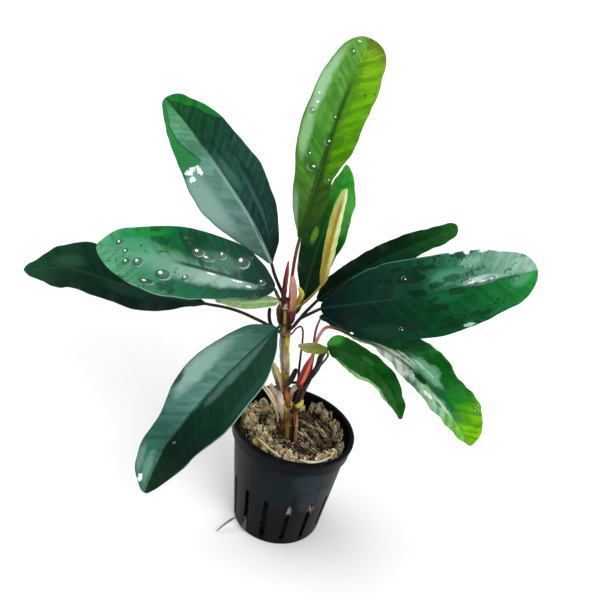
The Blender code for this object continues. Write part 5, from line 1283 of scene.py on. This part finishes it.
mesh = bpy.data.meshes.new("crumbs")
mesh.from_pydata(vertices, [], faces)
mesh.attributes.new("tint", "FLOAT", "POINT").data.foreach_set("value", tints)
crumbs = bpy.data.objects.new("crumbs", mesh)
bpy.context.scene.collection.objects.link(crumbs)
print("crumbs:", CRUMBS)

# %% The wool's finish
wool, start = new_finish("damp_wool", Roughness=0.9, Specular_IOR_Level=0.2)
spot_on = start.node("ShaderNodeTexCoord", None, None, out="Object")
patches, lumps, threads = spot_on.grain(160.0, 4.0), spot_on.grain(620.0, 4.0), spot_on.grain(2100.0, 3.0, 0.7)
rolls_and_gap_shade = start.node("ShaderNodeAttribute", {"attribute_name": "woolly"}, out="Fac")
pale = (patches * 0.3 + lumps * 0.7).ramp(
    (0.38, tone(24, 16, 15)), (0.44, tone(104, 82, 58)), (0.49, tone(190, 170, 124)), (0.56, tone(232, 218, 172)),
    (0.66, tone(248, 242, 212)))
dark = (patches * 0.3 + lumps * 0.7).ramp(
    (0.4, tone(10, 6, 9)), (0.52, tone(28, 18, 20)), (0.6, tone(64, 44, 34)), (0.7, tone(120, 96, 70)))
# Pale wool on the rolls and dark wool between them; the gaps between lumps come out darker as painted shade.
colour = (rolls_and_gap_shade + (lumps - 0.5) * 1.2).rise(0.15, 0.75).mix(dark, pale)
colour = (threads.rise(0.56, 0.72) * rolls_and_gap_shade * 0.4).mix(colour, tone(226, 216, 180))
x, y, _ = (spot_on.node("ShaderNodeVectorMath", {"operation": "SCALE"}, {0: spot_on, "Scale": 1 / MM})).parts()
yellow = (spot(x, y, -13.1, -8.7, 2.2, 1.8) + (lumps - 0.5) * 4.0).rise(1.0, 0.3) * 0.7
colour = yellow.mix(colour, tone(222, 206, 70))
connect(wool, Base_Color=colour, Normal=bump(lumps * 0.6 + threads * 0.4, 0.8))
plug.data.materials.append(wool)
place(plug, "growing_medium", 80.0)

strand_finish, start = new_finish("wool_strands", Roughness=0.75, Specular_IOR_Level=0.3)
tint = start.node("ShaderNodeAttribute", {"attribute_name": "tint"}, out="Fac")
spot_on = start.node("ShaderNodeTexCoord", None, None, out="Object")
lumps = spot_on.grain(700.0, 3.0)
colour = (tint + (lumps - 0.5) * 0.3).ramp(
    (0.0, tone(22, 14, 14)), (0.2, tone(70, 48, 36)), (0.42, tone(150, 124, 84)), (0.6, tone(204, 186, 128)),
    (0.8, tone(236, 224, 184)), (1.0, tone(250, 246, 226)))
# Strands that lie low, below the plug's top, are darkened: painted shade in the hollows.
deep = (spot_on.parts()[2] * (1 / MM)).rise(43.2, 41.8)
connect(strand_finish, Base_Color=(deep * 0.7).mix(colour, tone(34, 24, 22)), Normal=bump(lumps, 0.1))
for piece in (fibres, crumbs):
    piece.data.materials.append(strand_finish)
    place(piece, None, 70.0)

# %% [markdown]
# ## Root tufts at the slots
# Roots find their way out through the slots: a golden clump with white tips low on the left, and two dry tufts at
# the tops of the front slots. Each tuft is a bundle of strands that starts behind the wall and droops outside it.

# %% The tufts
# Each tuft: the angle round the pot, the height, how many strands, their length, and their tints
TUFTS = [(228.9, 4.6, 26, 3.4, (0.45, 0.7)), (228.9, 7.2, 7, 2.2, (0.9, 1.0)), (280.3, 22.6, 14, 2.8, (0.75, 1.0)),
         (306.0, 22.4, 12, 3.0, (0.6, 0.85)), (331.7, 6.0, 8, 2.4, (0.4, 0.7)), (100.3, 9.0, 10, 2.6, (0.5, 0.8)),
         (151.7, 5.0, 12, 3.0, (0.4, 0.8)), (48.9, 14.0, 8, 2.4, (0.6, 0.9))]


def drooping_strand(angle, height, length, tints):
    turn = math.radians(angle) + random.uniform(-0.03, 0.03)
    radius = BASE_RADIUS + (WALL_TOP_RADIUS - BASE_RADIUS) * height / COLLAR_BOTTOM
    outward = Vector((math.cos(turn), math.sin(turn), 0.0))
    sideways = outward.cross(Vector((0, 0, 1))) * random.uniform(-0.5, 0.5)
    low = height + random.uniform(-1.2, 1.2)
    points = []
    for i in range(STRAND_RINGS):
        share = i / (STRAND_RINGS - 1)
        out = radius - 1.6 + length * 0.75 * share
        drop = length * share**2 * random.uniform(0.75, 0.85)
        at = squeezed(outward * out + Vector((0, 0, low))) + sideways * share * length - Vector((0, 0, drop))
        points.append(Vector((at.x, at.y, max(at.z, 0.15))))
    return points, random.uniform(0.08, 0.16), random.uniform(*tints)


tufts = add_bundle("root_tufts", [drooping_strand(angle, height, length, tints)
                                  for angle, height, count, length, tints in TUFTS for _ in range(count)])
tufts.data.materials.append(strand_finish)
place(tufts, None, 70.0)

# %% [markdown]
# ## Floor, light and camera
# A pale floor runs on behind the plant. One broad window of light stands high on the right in front, so that it
# shines in the leaf halves that tilt that way, a second one is overhead, and the room is dim low in front, which
# keeps the other halves deep. The camera looks down on the pot.

# %% The studio
bpy.ops.object.select_all(action="DESELECT")
bpy.ops.mesh.primitive_plane_add(size=8.0, location=(0, 1.0, 0))
floor = bpy.context.object
floor.name = "floor"
floor_finish, start = new_finish("pale_floor", Roughness=0.8, Specular_IOR_Level=0.1)
speckle = start.node("ShaderNodeTexCoord", None, None, out="Object").grain(300.0, 2.0)
connect(floor_finish, Base_Color=speckle.mix((0.87, 0.87, 0.87, 1.0), (0.9, 0.9, 0.9, 1.0)))
floor.data.materials.append(floor_finish)


def add_sun(name, strength, degrees_wide, from_way):
    light = bpy.data.lights.new(name, "SUN")
    light.energy, light.angle = strength, math.radians(degrees_wide)
    lamp = bpy.data.objects.new(name, light)
    bpy.context.scene.collection.objects.link(lamp)
    lamp.rotation_mode = "QUATERNION"
    lamp.rotation_quaternion = Vector(from_way).to_track_quat("Z", "Y")


add_sun("window_light", 2.1, 42, (0.44, -0.63, 0.64))
add_sun("ceiling_light", 1.5, 60, (-0.55, 0.15, 0.9))
world = bpy.data.worlds.new("pale_room")
world.use_nodes = True
room = Wire(world.node_tree)
_, ahead, above = room.node("ShaderNodeTexCoord", None, None, out="Generated").parts()
dim_front = (ahead * -1.0).rise(0.45, 0.85) * above.rise(0.75, 0.35)
background = world.node_tree.nodes["Background"]
background.inputs["Color"].default_value = (1.0, 1.0, 1.0, 1.0)
world.node_tree.links.new((0.55 - dim_front * 0.47).socket, background.inputs["Strength"])
scene = bpy.context.scene
scene.world = world
scene.view_settings.view_transform = "Standard"

CAMERA_AT = Vector((-5.9, -321.7, 305.9))
CAMERA_RIGHT, CAMERA_UP = Vector((0.9848, 0.0907, 0.1481)), Vector((-0.1736, 0.5146, 0.8397))
camera_data = bpy.data.cameras.new("camera")
camera_data.lens, camera_data.sensor_width = 60.0, 36.0
camera_data.clip_start, camera_data.clip_end = 0.01, 20.0
camera = bpy.data.objects.new("camera", camera_data)
scene.collection.objects.link(camera)
axes = Matrix((CAMERA_RIGHT, CAMERA_UP, CAMERA_RIGHT.cross(CAMERA_UP))).transposed()
camera.matrix_world = Matrix.Translation(CAMERA_AT * MM) @ axes.to_4x4()
scene.camera = camera
